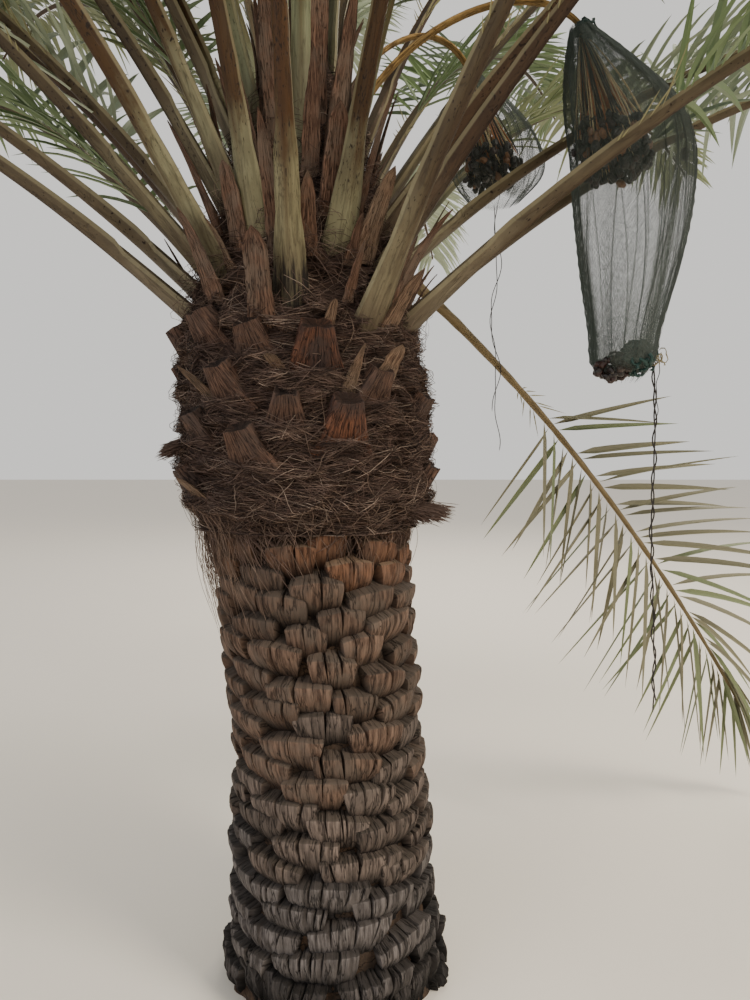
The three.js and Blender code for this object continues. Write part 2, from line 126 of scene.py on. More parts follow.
# %% The trunk's measures
TRUNK_LEAN = 0.08  # how far the tip lies to the left of the foot
LEAN_TOP = 1.7  # the height from which the axis is upright
LEAN_POWER = 2.5
STEM_RADII = [(0, 0.277), (0.08, 0.258), (0.25, 0.235), (0.6, 0.219), (1.256, 0.222)]
LIP = 1.222  # the lower edge of the fibre
FIBRE_RADII = [
    (LIP, 0.268),
    (1.285, 0.306),
    (1.45, 0.318),
    (1.58, 0.312),
    (1.7, 0.296),
    (1.8, 0.264),
    (1.95, 0.214),
    (2.12, 0.16),
    (2.3, 0.11),
    (2.42, 0.068),
    (2.5, 0.036),
]
GOLDEN_TURN = 137.508
UP = np.array([0.0, 0.0, 1.0])


def mix(a, b, share):
    """A value on the way from a to b."""
    return a + (b - a) * share


def unit(vectors):
    """Each vector divided by its length."""
    return vectors / np.linalg.norm(vectors, axis=-1, keepdims=True)


def along(rows, place, column=1):
    """A value between the rows of a list on straight lines. A row starts with its place."""
    table = np.array(rows)
    return np.interp(place, table[:, 0], table[:, column])


def smooth_along(rows, place, column=1):
    """A value between the rows of a list on a smooth line: each stretch is the cubic that has
    the rows' values and the mean slope of its neighbours at its two ends."""
    table = np.array(rows, float)
    x, y = table[:, 0], table[:, column]
    slope = np.gradient(y, x)
    place = np.clip(place, x[0], x[-1])
    i = np.clip(np.searchsorted(x, place, side="right") - 1, 0, len(x) - 2)
    span = x[i + 1] - x[i]
    t = (place - x[i]) / span
    value = y[i] * (1 + 2 * t) * (1 - t) ** 2 + y[i + 1] * t * t * (3 - 2 * t)
    return value + span * (slope[i] * t * (1 - t) ** 2 - slope[i + 1] * t * t * (1 - t))


def out_at(turn):
    """The direction away from the axis: cosine and sine of the turn."""
    a = np.radians(turn)
    return np.stack([np.cos(a), np.sin(a), 0 * a], -1)


def side_at(turn):
    """The level direction square to out_at."""
    a = np.radians(turn)
    return np.stack([np.sin(a), -np.cos(a), 0 * a], -1)


def axis_at(z):
    """The middle of the trunk: x is minus the lean times a power of a quarter sine wave."""
    z = np.asarray(z, float)
    share = np.clip(z / LEAN_TOP, 0, 1)
    return np.stack([-TRUNK_LEAN * np.sin(np.pi / 2 * share) ** LEAN_POWER, 0 * z, z], -1)


def round_trunk(turn, z, radius):
    """Points at a turn, a height and a distance from the axis."""
    return axis_at(z) + out_at(turn) * np.asarray(radius, float)[..., None]


def ripples(places, seed, waves=7):
    """Smooth noise of about -1 to 1: the sum of sines that run in random ways. places is a list
    of arrays, each scaled so that 1 is about a sixth of the noise's wave."""
    rng = np.random.default_rng(seed)
    total = 0.0
    for _ in range(waves):
        way = rng.normal(size=len(places))
        total = total + np.sin(sum(w * p for w, p in zip(way, places)) + rng.uniform(0, 6.28))
    return total / math.sqrt(waves)


# %% [markdown]
# A palm is thousands of small shapes of a few kinds. They are worked out as whole arrays and
# gathered in heaps, one for each kind, and each heap becomes one mesh. Every point carries three
# things for its material: its place along and across its own grain, a tone that its shape shares,
# which on the cut bases also carries painted shade, and a mark for a special part such as a cut
# face or an edge.


# %% Heaps of shapes
GRAIN_APART = 0.37  # between the grain's coordinates of one tube and the next


class Heap:
    """Shapes of one kind that become one mesh."""

    def __init__(self):
        self.points, self.grain, self.tone, self.mark = [], [], [], []
        self.faces = {4: [], 3: []}
        self.size = 0

    def add(self, points, faces, grain, tone=0.5, mark=0.0):
        """Adds points, n by 3, with faces that count from the first of them. The tone, which on the cut
        bases also carries painted shade, and the mark are one value or one for each point."""
        points = np.reshape(points, (-1, 3))
        count = len(points)
        self.points.append(points)
        self.grain.append(np.reshape(grain, (-1, 3)))
        self.tone.append(np.broadcast_to(np.ravel(tone), count))
        self.mark.append(np.broadcast_to(np.ravel(mark), count))
        for corners in faces:
            self.faces[corners.shape[-1]].append(corners + self.size)
        self.size += count
        return self

    def piece(self, name, slot, material, crease=38, stands_for=()):
        """Makes the mesh and its object, shaded smooth up to the crease angle."""
        mesh = bpy.data.meshes.new(name)
        points = np.concatenate(self.points)
        mesh.vertices.add(len(points))
        mesh.vertices.foreach_set("co", points.ravel())
        kinds = [(n, np.concatenate(f)) for n, f in self.faces.items() if f]
        corners = np.concatenate([f.ravel() for _, f in kinds])
        sizes = np.concatenate([np.full(len(f), n) for n, f in kinds])
        mesh.loops.add(len(corners))
        mesh.loops.foreach_set("vertex_index", corners)
        mesh.polygons.add(len(sizes))
        mesh.polygons.foreach_set("loop_start", np.cumsum(sizes) - sizes)
        mesh.polygons.foreach_set("loop_total", sizes)
        grain = mesh.attributes.new("grain", "FLOAT_VECTOR", "POINT")
        grain.data.foreach_set("vector", np.concatenate(self.grain).ravel())
        for key, rows in (("tone", self.tone), ("mark", self.mark)):
            mesh.attributes.new(key, "FLOAT", "POINT").data.foreach_set("value", np.concatenate(rows))
        mesh.update(calc_edges=True)
        mesh.validate()
        mesh.shade_smooth()
        mesh.set_sharp_from_angle(angle=math.radians(crease))
        mesh.materials.append(material)
        made = placed(name, mesh)
        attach(made, "root")
        if stands_for:
            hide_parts(*stands_for)
        print(f"{name}: {int((sizes - 2).sum())} triangles")


def grid_quads(rows, columns):
    """The quads of a grid whose points are numbered row by row. Each row is a ring."""
    r = np.arange(rows - 1)[:, None] * columns
    c = np.arange(columns)[None]
    after = (c + 1) % columns
    return np.stack([r + c, r + after, r + columns + after, r + columns + c], -1).reshape(-1, 4)


def fan(ring, middle, first):
    """Triangles from a ring's point numbers to a middle point, at the first or last end."""
    after = np.roll(ring, -1)
    pair = [after, ring] if first else [ring, after]
    return np.stack([np.full(len(ring), middle), *pair], -1)


def lathe_faces(rows, columns):
    """The faces of a form made of rings, whose last two points close its first and last ring."""
    count, first = rows * columns, np.arange(columns)
    last = first + count - columns
    return [grid_quads(rows, columns), fan(first, count, True), fan(last, count + 1, False)]


def repeated(faces, copies, stride):
    """The same faces for each of many copies whose points follow each other."""
    shift = np.arange(copies)[:, None, None] * stride
    return (faces[None] + shift).reshape(-1, faces.shape[-1])


def tube_faces(copies, rings, corners):
    """The faces of many closed tubes. A tube's points are its first end, its rings and its last
    end, and each ring runs counter-clockwise as the tube's run comes towards the eye."""
    stride = rings * corners + 2
    last = 1 + (rings - 1) * corners + np.arange(corners)
    sides = grid_quads(rings, corners) + 1
    ends = np.concatenate([fan(1 + np.arange(corners), 0, True), fan(last, stride - 1, False)])
    return [repeated(sides, copies, stride), repeated(ends, copies, stride)]


def lengths_along(paths):
    """The distance of each point of each path from the path's start."""
    step = np.linalg.norm(np.diff(paths, axis=1), axis=-1)
    return np.concatenate([np.zeros((len(paths), 1)), np.cumsum(step, 1)], 1)


def tubes(paths, radii, corners=3):
    """Closed tubes along many paths at once, with a point at both ends. paths is n by m by 3. A
    ring's corner is the path plus radius times (cosine * side + sine * face), with side and face
    square to the path. Returns the points, faces and grain for a heap."""
    n, m, _ = paths.shape
    run = unit(np.gradient(paths, axis=1))
    mean = unit(run.mean(1))
    guide = np.cross(mean, np.eye(3)[np.argmin(np.abs(mean), axis=1)])[:, None]
    side = unit(np.cross(guide, run))
    face = np.cross(run, side)
    a = np.arange(corners) * 2 * np.pi / corners
    spokes = side[:, :, None] * np.cos(a)[:, None] + face[:, :, None] * np.sin(a)[:, None]
    radii = np.broadcast_to(radii, (n, m))
    rings = (paths[:, :, None] + spokes * radii[:, :, None, None])[:, 1:-1].reshape(n, -1, 3)
    points = np.concatenate([paths[:, :1], rings, paths[:, -1:]], 1)
    along_path = lengths_along(paths)
    inner = np.repeat(along_path[:, 1:-1], corners, 1)
    length = np.concatenate([along_path[:, :1], inner, along_path[:, -1:]], 1)
    across = np.concatenate([[0], np.tile(a, m - 2), [0]]) * float(np.mean(radii))
    number = np.arange(n)[:, None] * GRAIN_APART + 0 * length
    grain = np.stack([across[None] + 0 * length, length, number], -1)
    return points, tube_faces(n, m - 2, corners), grain


# %% [markdown]
# Materials share a few effects, so each effect is a node group with named inputs. Dry palm wood
# has long pale and dark streaks with black splits between them, all along its grain; weather
# leaves patches that follow no grain; and stalks carry scurf, small dark flecks.


# %% Node helpers and shared effects
NUMBER = "NodeSocketFloat"
DRY_GLOSS = 0.22  # dry wood and fibre shine less than most things, whose level is 0.5


def socket_name(key):
    """The name of a group's input, such as Split Width for split_width."""
    return key.replace("_", " ").title()


class Tree:
    """A node tree with short ways to add nodes and to link them."""

    def __init__(self, tree):
        self.tree = tree

    def put(self, made, key, value):
        """Gives a node's input a value, or links another node's output to it."""
        if isinstance(value, bpy.types.NodeSocket):
            self.tree.links.new(value, made.inputs[key])
        else:
            made.inputs[key].default_value = value

    def node(self, kind, links=None, **settings):
        """A node of a kind, with its settings, and its inputs by name or number."""
        made = self.tree.nodes.new("ShaderNode" + kind)
        for key, value in settings.items():
            setattr(made, key, value)
        for key, value in (links or {}).items():
            self.put(made, key, value)
        return made

    def math(self, operation, a, b=0.0):
        return self.node("Math", {0: a, 1: b}, operation=operation).outputs[0]

    def times(self, a, b):
        return self.math("MULTIPLY", a, b)

    def ramp(self, value, low, high, to_low=0.0, to_high=1.0):
        """The value's share of the way from low to high, smoothed, as to_low to to_high."""
        links = {"Value": value, "From Min": low, "From Max": high}
        links.update({"To Min": to_low, "To Max": to_high})
        return self.node("MapRange", links, interpolation_type="SMOOTHSTEP").outputs["Result"]

    def blend(self, share, a, b, way="MIX"):
        """Colour a and, by its share, colour b. Each is a code or another node's output."""
        a, b = (srgb(colour) if isinstance(colour, int) else colour for colour in (a, b))
        links = {"Factor": share, 6: a, 7: b}  # the sockets 6 and 7 are the colours'
        return self.node("Mix", links, data_type="RGBA", blend_type=way).outputs[2]

    def shaded(self, colour, shade):
        """The colour times a grey of the shade's value."""
        grey = self.node("CombineColor", {0: shade, 1: shade, 2: shade}).outputs[0]
        return self.blend(1.0, colour, grey, "MULTIPLY")

    def attribute(self, name, output="Fac"):
        return self.node("Attribute", attribute_name=name).outputs[output]

    def grain(self, operation, amount):
        """The grain's coordinates, with the length multiplied or divided by an amount."""
        part = self.node("SeparateXYZ", {0: self.attribute("grain", "Vector")}).outputs
        length = self.math(operation, part["Y"], amount)
        return self.node("CombineXYZ", {0: part["X"], 1: length, 2: part["Z"]}).outputs[0]

    def noise(self, vector, scale, detail, rough):
        links = {"Vector": vector, "Scale": scale, "Detail": detail, "Roughness": rough}
        return self.node("TexNoise", links).outputs["Fac"]


def grain_effect(tree, given):
    """Streaks and splits along the grain: noise on the grain's coordinates, with the length
    divided by the stretch. A split is where a second such noise is close to its middle."""
    bent = tree.grain("DIVIDE", given["Stretch"])
    streaks = tree.noise(bent, given["Scale"], 5.0, 0.65)
    other = tree.noise(bent, tree.times(given["Scale"], 0.55), 3.0, 0.55)
    off = tree.math("ABSOLUTE", tree.math("SUBTRACT", other, 0.5))
    splits = tree.ramp(off, 0.0, given["Split Width"], 1.0, 0.0)
    height = tree.math("SUBTRACT", streaks, tree.times(splits, 0.6))
    return {"Streaks": streaks, "Splits": splits, "Height": height}


def patch_effect(tree, given):
    """Patches of weather: noise on the object's coordinates, sharpened between two levels."""
    noise = tree.noise(tree.node("TexCoord").outputs["Object"], given["Scale"], 5.0, 0.62)
    return {"Patches": tree.ramp(noise, 0.4, 0.65)}


def fleck_effect(tree, given):
    """Scurf: small stretched flecks on the grain's coordinates, thick where a slow noise says."""
    bent = tree.grain("MULTIPLY", 0.2)
    fine = tree.noise(bent, given["Scale"], 1.0, 0.5)
    slow = tree.noise(bent, tree.times(given["Scale"], 0.08), 3.0, 0.6)
    total = tree.math("ADD", fine, tree.times(slow, given["Amount"]))
    return {"Flecks": tree.ramp(total, 0.87, 0.95)}


def new_group(name, build, **inputs):
    """A node group with these inputs and their usual values. build makes its nodes from the tree
    and the inputs, and returns its outputs by name."""
    group = bpy.data.node_groups.new(name, "ShaderNodeTree")
    for key, value in inputs.items():
        given = group.interface.new_socket(socket_name(key), in_out="INPUT", socket_type=NUMBER)
        given.default_value = value
    made = build(Tree(group), group.nodes.new("NodeGroupInput").outputs)
    for key in made:
        group.interface.new_socket(key, in_out="OUTPUT", socket_type=NUMBER)
    last = group.nodes.new("NodeGroupOutput")
    for key, value in made.items():
        group.links.new(value, last.inputs[key])
    return group


GRAIN = new_group("wood_grain", grain_effect, scale=120.0, stretch=9.0, split_width=0.03)
PATCHES = new_group("weather_patches", patch_effect, scale=9.0)
FLECKS = new_group("scurf_flecks", fleck_effect, scale=170.0, amount=0.5)
print(len(bpy.data.node_groups), "shared effects")

# %% [markdown]
# Dry palm wood is one material with many settings. It serves for the cut bases, the mat, the
# stubs and the sheaths, each with its own colours and its own scale of the grain.


# %% Dry wood
def new_material(name, roughness):
    """A dull material, the tree that its colours are made in, and its shader."""
    material = plain_paint(name, 0xFFFFFF, roughness, DRY_GLOSS)
    return material, Tree(material.node_tree), material.node_tree.nodes["Principled BSDF"]


def effect(tree, group, **values):
    """The outputs of a shared effect that is placed in a material with these inputs."""
    made = tree.node("Group", node_tree=group)
    for key, value in values.items():
        tree.put(made, socket_name(key), value)
    return made.outputs


def bump(tree, shader, height, distance):
    """Gives the shader a bump from a height, with its depth in metres."""
    made = tree.node("Bump", {"Height": height, "Distance": distance, "Strength": 1.0})
    tree.put(shader, "Normal", made.outputs["Normal"])


def wood(name, pale, dark, weathered, split, cut, scale=120.0, stretch=9.0, amount=0.7, cracks=0.75):
    """Dry palm wood. Streaks go from pale to dark, patches turn weathered, splits are nearly
    black, and a marked face has the colour of the cut, which is partly the cut wood's own
    colour and partly painted shade on the cut tops."""
    material, tree, shader = new_material(name, 0.85)
    grain = effect(tree, GRAIN, scale=scale, stretch=stretch, split_width=0.028)
    patches = effect(tree, PATCHES, scale=11.0)["Patches"]
    colour = tree.blend(tree.ramp(grain["Streaks"], 0.34, 0.66), dark, pale)
    colour = tree.blend(tree.times(patches, amount), colour, weathered)
    # the cut tops take the cut colour, partly the cut wood's own and partly painted shade
    colour = tree.blend(tree.times(tree.attribute("mark"), 0.75), colour, cut)
    # the tone darkens the colour; on the cut bases it carries painted shade at each face's tucked-in foot
    # and in the open splits, and makes the bases darker towards the ground
    colour = tree.shaded(colour, tree.ramp(tree.attribute("tone"), -1.0, 1.0, 0.08, 0.82))
    colour = tree.blend(tree.times(grain["Splits"], cracks), colour, split)
    tree.put(shader, "Base Color", colour)
    bump(tree, shader, grain["Height"], 0.004)
    return material


# %% [markdown]
# The lower trunk is old leaf bases, each cut off a hand's width above its root and dried since.
# They follow the golden spiral, so no two stand straight above each other. One base is a closed
# profile in the plane through the trunk's axis: out along the sloping cut, over a rounded edge,
# down the bulging face, which tucks in deeply at its foot, and back inside. Carrying it round a
# few degrees of the trunk gives the base. Columns that sink in between its blocks give the
# splits, which gape at the cut. Young bases near the collar are narrow, red-brown and whole; old
# ones by the ground are wide, grey, crumbled and split into teeth.

# %% Measures of a cut leaf base
BASES = {
    "first": 0.05,  # the height of the lowest front edge
    "last": 1.25,
    "pitch": 0.066,  # the height of one full turn of bases, side by side
    "height": 0.1,
    "half_turns": (27.0, 14.0),  # at the ground and under the collar
    "splits": (9.0, 0.4),
    "root": 0.03,  # how far a base runs into the stem
    "stands_out": 0.045,
    "narrows": 0.66,  # the width of its foot, as a share of its top's
    "dip": 0.008,  # how much lower its two ends are
    "tilt": 0.01,  # the most that one end is higher than the other
    "sunk": 0.003,  # how much lower the cut is in a split
    "slopes": (0.16, 0.42),  # how much the cut rises towards the stem
    "sizes": (0.78, 1.17),  # shares of the usual distance that it stands out
    "rough": (0.0013, 0.0006),  # the wide and the fine ripples of its face
    "cut_rough": 0.0012,
    "tones": (0.15, 0.85),
}
BLOCK_COLUMNS = 6
BLOCK_WIDTHS = (0.35, 1.65)  # shares of the usual width of a block between two splits
SET_OUT = (0.0018, 0.001)  # how far a block is set in or out, at the ground and under the collar
SET_UP = (0.0018, 0.0005)
CRUMBLED_OUT, CRUMBLED_UP, CRUMBLED_ROUGH = 0.006, 0.004, 0.007  # what crumbling adds
SPLIT_HALF = 0.015  # half a split's width at the foot, as a share of half a base's width
SPLIT_GAPE = (0.04, 0.11)  # the most that it opens to each side at the cut, low and high up
SPLIT_DEPTHS = (0.008, 0.03)
SPLIT_REACHES = (0.2, 0.6)  # how high up a base its splits begin
TOP_FACE = [0.0, 0.3, 0.5, 0.66, 0.79, 0.89, 0.955]  # from the stem to the front edge
EDGE_ROUND = [(0.982, 0.992), (0.996, 0.975)]
FACE_ROWS = 14
ERODED = 0.28  # the height under which the bases crumble


def base_profile():
    """The profile's two coordinates: how far out, from 0 inside to 1 at the front, and how high,
    from 0 at the foot to 1 at the cut."""
    face = np.linspace(0.945, 0.0, FACE_ROWS)
    out = np.concatenate([TOP_FACE, [o for o, _ in EDGE_ROUND], np.ones(FACE_ROWS), [0.4, 0.0]])
    high = np.concatenate([np.ones(len(TOP_FACE)), [h for _, h in EDGE_ROUND], face, [0.0, 0.0]])
    return out, high


def base_columns(splits, share, rng):
    """A base's columns: where each is, from -1 to 1 across it, whether it is sunk, how far it
    gapes, and its block's number. A sunk column stands at both ends and in each split."""
    widths = rng.uniform(*BLOCK_WIDTHS, splits + 1)
    edges = -1 + 2 * np.concatenate([[0], np.cumsum(widths)]) / widths.sum()
    start, end = edges[:-1, None] + SPLIT_HALF, edges[1:, None] - SPLIT_HALF
    way = np.linspace(0, 1, BLOCK_COLUMNS)
    blocks = np.concatenate([start + (end - start) * way, edges[1:, None]], 1)
    gapes = rng.uniform(0, mix(*SPLIT_GAPE, share), (splits + 1, 1)) * np.append(1 - 2 * way, 0)
    across = np.concatenate([[-1], blocks.ravel()])
    sunk = np.concatenate([[1], np.tile([0] * BLOCK_COLUMNS + [1], splits + 1)])
    gape = np.concatenate([[0], gapes.ravel()])
    number = np.concatenate([[0], np.repeat(np.arange(splits + 1), BLOCK_COLUMNS + 1)])
    return across[:, None], sunk[:, None], gape[:, None], number


# %% [markdown]
# With the columns and the profile known, a base is a few sums over the whole grid. Noise of about
# a millimetre roughens its face, and the bases near the ground are rougher and darker. Its face is
# painted darker towards its tucked-in foot and inside its open splits, as painted shade.


# %% Cut leaf bases
def leaf_base(turn, top, half_turn, splits, share, rng):
    """One base as a grid of columns by profile points. Its front stands out by a quarter sine
    wave of the height; each block between two splits is set a little in or out, up or down."""
    a, sunk, gape, block = base_columns(splits, share, rng)
    out, high = base_profile()
    crumbled = max(0, 1 - top / ERODED)
    set_out = rng.normal(0, mix(*SET_OUT, share) + CRUMBLED_OUT * crumbled, splits + 1)[block]
    set_up = rng.normal(0, mix(*SET_UP, share) + CRUMBLED_UP * crumbled, splits + 1)[block]
    size = rng.uniform(*BASES["sizes"])
    bulge = BASES["stands_out"] * size * (1 - 0.16 * np.abs(a) ** 3) + set_out[:, None]
    front = bulge * np.sin(np.pi / 2 * np.clip((high - 0.12) / 0.8, 0, 1)) ** 0.9
    reach = rng.uniform(*SPLIT_REACHES, a.shape)
    at_end = np.abs(a) > 0.999
    depth = np.where(at_end, SPLIT_DEPTHS[1], rng.uniform(*SPLIT_DEPTHS, a.shape))
    opened = np.where(at_end, high**0.4, np.clip((high - reach) / (1 - reach), 0, 1) ** 0.7)
    front = front - sunk * depth * opened
    drop = BASES["dip"] * np.abs(a) ** 1.8 - rng.uniform(-BASES["tilt"], BASES["tilt"]) * a
    cut = top - drop + set_up[:, None] - BASES["sunk"] * sunk
    foot = top - BASES["height"]
    z = foot + (cut - foot) * high
    slant = rng.normal(0, 0.06) + 0.05 * np.sin(3 * a + rng.uniform(0, 6))
    opens = gape * np.clip((high - 0.3) / 0.7, 0, 1) ** 1.4
    angle = turn + half_turn * (a + opens + slant * (1 - high)) * mix(BASES["narrows"], 1, high**0.8)
    stem = along(STEM_RADII, z)
    seed = rng.uniform(0, 50)
    places = [np.radians(angle) * 45 + seed, z * 40]
    wide, fine = BASES["rough"]
    rough = ripples(places, 3) * wide + ripples([3 * p for p in places], 6) * fine
    rough = rough + crumbled * CRUMBLED_ROUGH * ripples([1.6 * p for p in places], 7)
    inside = stem - BASES["root"]
    radius = inside + (stem + front + rough * (1 - 0.9 * (high < 0.05)) - inside) * out
    on_top = (high > 0.99) & (out < 0.99)
    z = z + on_top * mix(*BASES["slopes"], share) * (1 - out) * (BASES["root"] + front)
    uneven = ripples([radius * 260 + seed, angle * 2.5], 4) * BASES["cut_rough"]
    z = z + on_top * (out > 0.2) * uneven
    points = round_trunk(angle, np.maximum(z, 0), radius)
    across = np.radians(angle - turn) * stem
    length = high * BASES["height"] + (1 - out) * 0.06 + 0 * across
    grain = np.stack([across, length, np.full_like(length, seed)], -1)
    # painted shade: darker towards the tucked-in foot of the face and inside the open splits; the bases are
    # also darker towards the ground
    shade_under_row = np.clip((0.72 - high) / 0.6, 0, 1) ** 1.3
    tone = rng.uniform(*BASES["tones"]) - 1.1 * shade_under_row - 0.5 * sunk * opened - crumbled
    columns, profile = radius.shape
    first = np.arange(profile)
    last = first + (columns - 1) * profile
    faces = [grid_quads(columns, profile)]
    faces += [fan(first, first[0], True)[1:-1], fan(last, last[0], False)[1:-1]]
    return points, faces, grain, tone, on_top + 0 * a


# the fifth colour of each wood is its cut tops', partly their own and partly painted shade
BASE_WOODS = {  # the level up to which a wood is used, and the wood
    "low": (0.32, wood("base_grey", 0x857D7A, 0x423C39, 0x605955, 0x0C0A08, 0x3A3430, amount=0.6)),
    "worn": (0.54, wood("base_worn", 0x88786E, 0x443A34, 0x655B54, 0x0E0A08, 0x484038, amount=0.65)),
    "middle": (0.88, wood("base_aged", 0x836A5A, 0x46352C, 0x6C6056, 0x100A07, 0x574D44, cracks=0.6)),
    "high": (9.0, wood("base_fresh", 0x8E674F, 0x543828, 0x6E5C50, 0x120A07, 0x7A6754, cracks=0.5)),
}
base_rng = np.random.default_rng(11)
base_heaps = {key: Heap() for key in BASE_WOODS}
top, place = BASES["first"], 0
while top < BASES["last"]:
    share = (top - BASES["first"]) / (BASES["last"] - BASES["first"])
    usual = mix(*BASES["half_turns"], share**0.8)
    splits = round(mix(*BASES["splits"], share**0.45) * base_rng.uniform(0.5, 1.4))
    half = usual * base_rng.uniform(0.8, 1.2)
    level = share + base_rng.uniform(-0.08, 0.08)
    key = next(k for k, (limit, _) in BASE_WOODS.items() if level < limit)
    cut = top + base_rng.uniform(-0.01, 0.01)
    base_heaps[key].add(*leaf_base(place * GOLDEN_TURN, cut, half, splits, share, base_rng))
    top += BASES["pitch"] * 2 * usual / 360
    place += 1
print(place, "cut leaf bases")
for key, (_, material) in BASE_WOODS.items():
    base_heaps[key].piece(f"leaf_bases_{key}", "trunk_bark", material, stands_for=["trunk"])

# %% [markdown]
# Behind the bases is the stem itself, which shows only as dark gaps. Its dark browns are partly
# the stem's own colour and partly painted shade in those gaps. It is one closed lathe form with a
# flat cut at the ground.

# %% Stem
STEM_COLUMNS, STEM_ROWS = 150, 60
STEM_TOP = 1.3
STEM_ROUGH = 0.006


def level_turns(columns):
    """The turns of a ring's points."""
    return np.arange(columns)[None] * 360 / columns


def stem():
    """Rings of the stem's radius with ripples on it, closed by a point in the middle of each
    end."""
    z = np.linspace(0, STEM_TOP, STEM_ROWS)[:, None]
    turn = level_turns(STEM_COLUMNS)
    a = np.radians(turn)
    rough = STEM_ROUGH * ripples([np.cos(a) * 14, np.sin(a) * 14, z * 50], 5)
    radius = along(STEM_RADII, z) + rough
    points = round_trunk(turn + 0 * z, z + 0 * turn, radius).reshape(-1, 3)
    points = np.concatenate([points, axis_at([0, STEM_TOP])])
    return points, lathe_faces(STEM_ROWS, STEM_COLUMNS), points


# painted shade in part: the stem is dark so that the gaps between the bases read as shade
SHADE = wood("stem_dark", 0x5A4636, 0x33261D, 0x4A4038, 0x0E0A08, 0x4A4038, scale=60.0, stretch=2.0)
Heap().add(*stem()).piece("stem", "trunk_bark", SHADE)

# %% [markdown]
# Above the cut bases the leaves are young enough to keep their sheaths, which have rotted down
# to a mat of brown fibre. The mat is layered like shingles, so its surface is a lathe form whose
# radius jumps out at the lower edge of each wavy layer.

# %% Collar of fibre
LAYER = 0.095  # the height of one layer of the mat
LAYER_STEP = 0.024  # how far its lower edge stands out
COLLAR_COLUMNS, COLLAR_ROWS = 190, 190
COLLAR_TOP = 2.5
UNDER_LIP = [(LIP + 0.04, 0.19), (LIP + 0.015, 0.24)]  # height and radius of the rings inside
LUMPS = (0.008, 0.003)  # the wide and the fine unevenness of the mat
RAGGED = 0.012  # how much its lowest rings rise and fall


def collar_radius(turn, z):
    """The trunk's radius, plus a saw wave of the height whose edges wander with the turn, plus
    ripples. Both fade out towards the tip."""
    a = np.radians(turn)
    x, y = np.cos(a), np.sin(a)
    wander = 0.9 * ripples([x * 2.2, y * 2.2, z * 3], 21) + 0.25 * ripples([x * 9, y * 9], 22)
    phase = z / LAYER + wander
    saw = 1 - (phase - np.floor(phase))
    lumps = LUMPS[0] * ripples([x * 7, y * 7, z * 24], 23)
    lumps = lumps + LUMPS[1] * ripples([x * 22, y * 22, z * 70], 24)
    radius = along(FIBRE_RADII, z)
    fade = np.clip(radius / 0.2, 0, 1)
    return radius - 0.012 + fade * (LAYER_STEP * saw**2 + lumps)


def collar():
    """Rings from inside the stem out to the lip, and up to the tip, closed at both ends."""
    inside, radii = zip(*UNDER_LIP)
    z = np.concatenate([inside, np.linspace(LIP, COLLAR_TOP, COLLAR_ROWS)])[:, None]
    turn = level_turns(COLLAR_COLUMNS)
    a = np.radians(turn)
    radius = collar_radius(turn, z)
    radius[: len(radii)] = np.array(radii)[:, None]
    z = z + 0 * turn
    z[2:6] -= RAGGED * ripples([np.cos(a) * 12, np.sin(a) * 12], 26)
    points = round_trunk(turn + 0 * z, z, radius).reshape(-1, 3)
    points = np.concatenate([points, axis_at([inside[0], COLLAR_TOP + 0.01])])
    x, y, height = points.T
    grain = np.stack([height, np.arctan2(y, x) * 0.3, 0 * x], -1)
    return points, lathe_faces(len(z), COLLAR_COLUMNS), grain


MAT = wood("fibre_mat", 0x5F493C, 0x2F2119, 0x47372F, 0x0C0806, 0x3A2D24, scale=210.0, stretch=12.0)
Heap().add(*collar()).piece("fibre_collar", "trunk_bark", MAT, crease=60)

# %% [markdown]
# Cut stalks stand out of the mat. Those in front are placed from the photograph, and the spiral
# goes on behind with a few more. They are placed here, before they are made, because strands of
# the mat cross their feet.

# %% Where the cut stubs stand
STUB = {
    "length": 0.116,
    "foot": 0.122,  # widths
    "head": 0.058,
    "flare": 0.02,  # how much wider the foot gets in the mat
    "thick": 0.046,
    "thicker": 0.3,  # the share by which the foot gets thicker
    "lean": 31.0,
    "sink": 0.003,
}
SHOWN_STUBS = [  # turn, height, size, slant to the left
    (-147, 1.33, 1.0, 12),
    (-109, 1.419, 1.08, 9),
    (-136, 1.466, 0.9, 5),
    (-68, 1.478, 1.15, 2),
    (-23, 1.51, 0.9, -3),
    (-92, 1.505, 0.9, -4),
    (-53, 1.56, 0.95, -4),
    (-118, 1.566, 1.0, 9),
    (-79, 1.638, 1.2, 0),
    (-106, 1.66, 0.95, 6),
    (-130, 1.69, 1.05, 8),
]
HIDDEN_STUBS = 14


def stub_rows():
    """The stubs that show, and those of the hidden side on the golden spiral."""
    rows = list(SHOWN_STUBS)
    for i in range(HIDDEN_STUBS):
        turn = -5 + (i * GOLDEN_TURN) % 200
        size = mix(0.9, 1.1, (i * GOLDEN_TURN / 360) % 1)
        rows.append((turn, mix(1.32, 1.69, (i + 0.5) / HIDDEN_STUBS), size, 10 * math.sin(i * 1.7)))
    return rows


STUBS = stub_rows()
print(len(STUBS), "cut stubs")

# %% [markdown]
# What makes the collar read as fibre is its loose strands. Each is a thin tube with a wavy path
# over the mat: it starts somewhere, runs off at a small slope, and lifts a few millimetres in the
# middle. Thousands are worked out at once, in five plain browns that are dealt out by strand. Some
# cross the feet of the stubs, which have grown out through the mat.

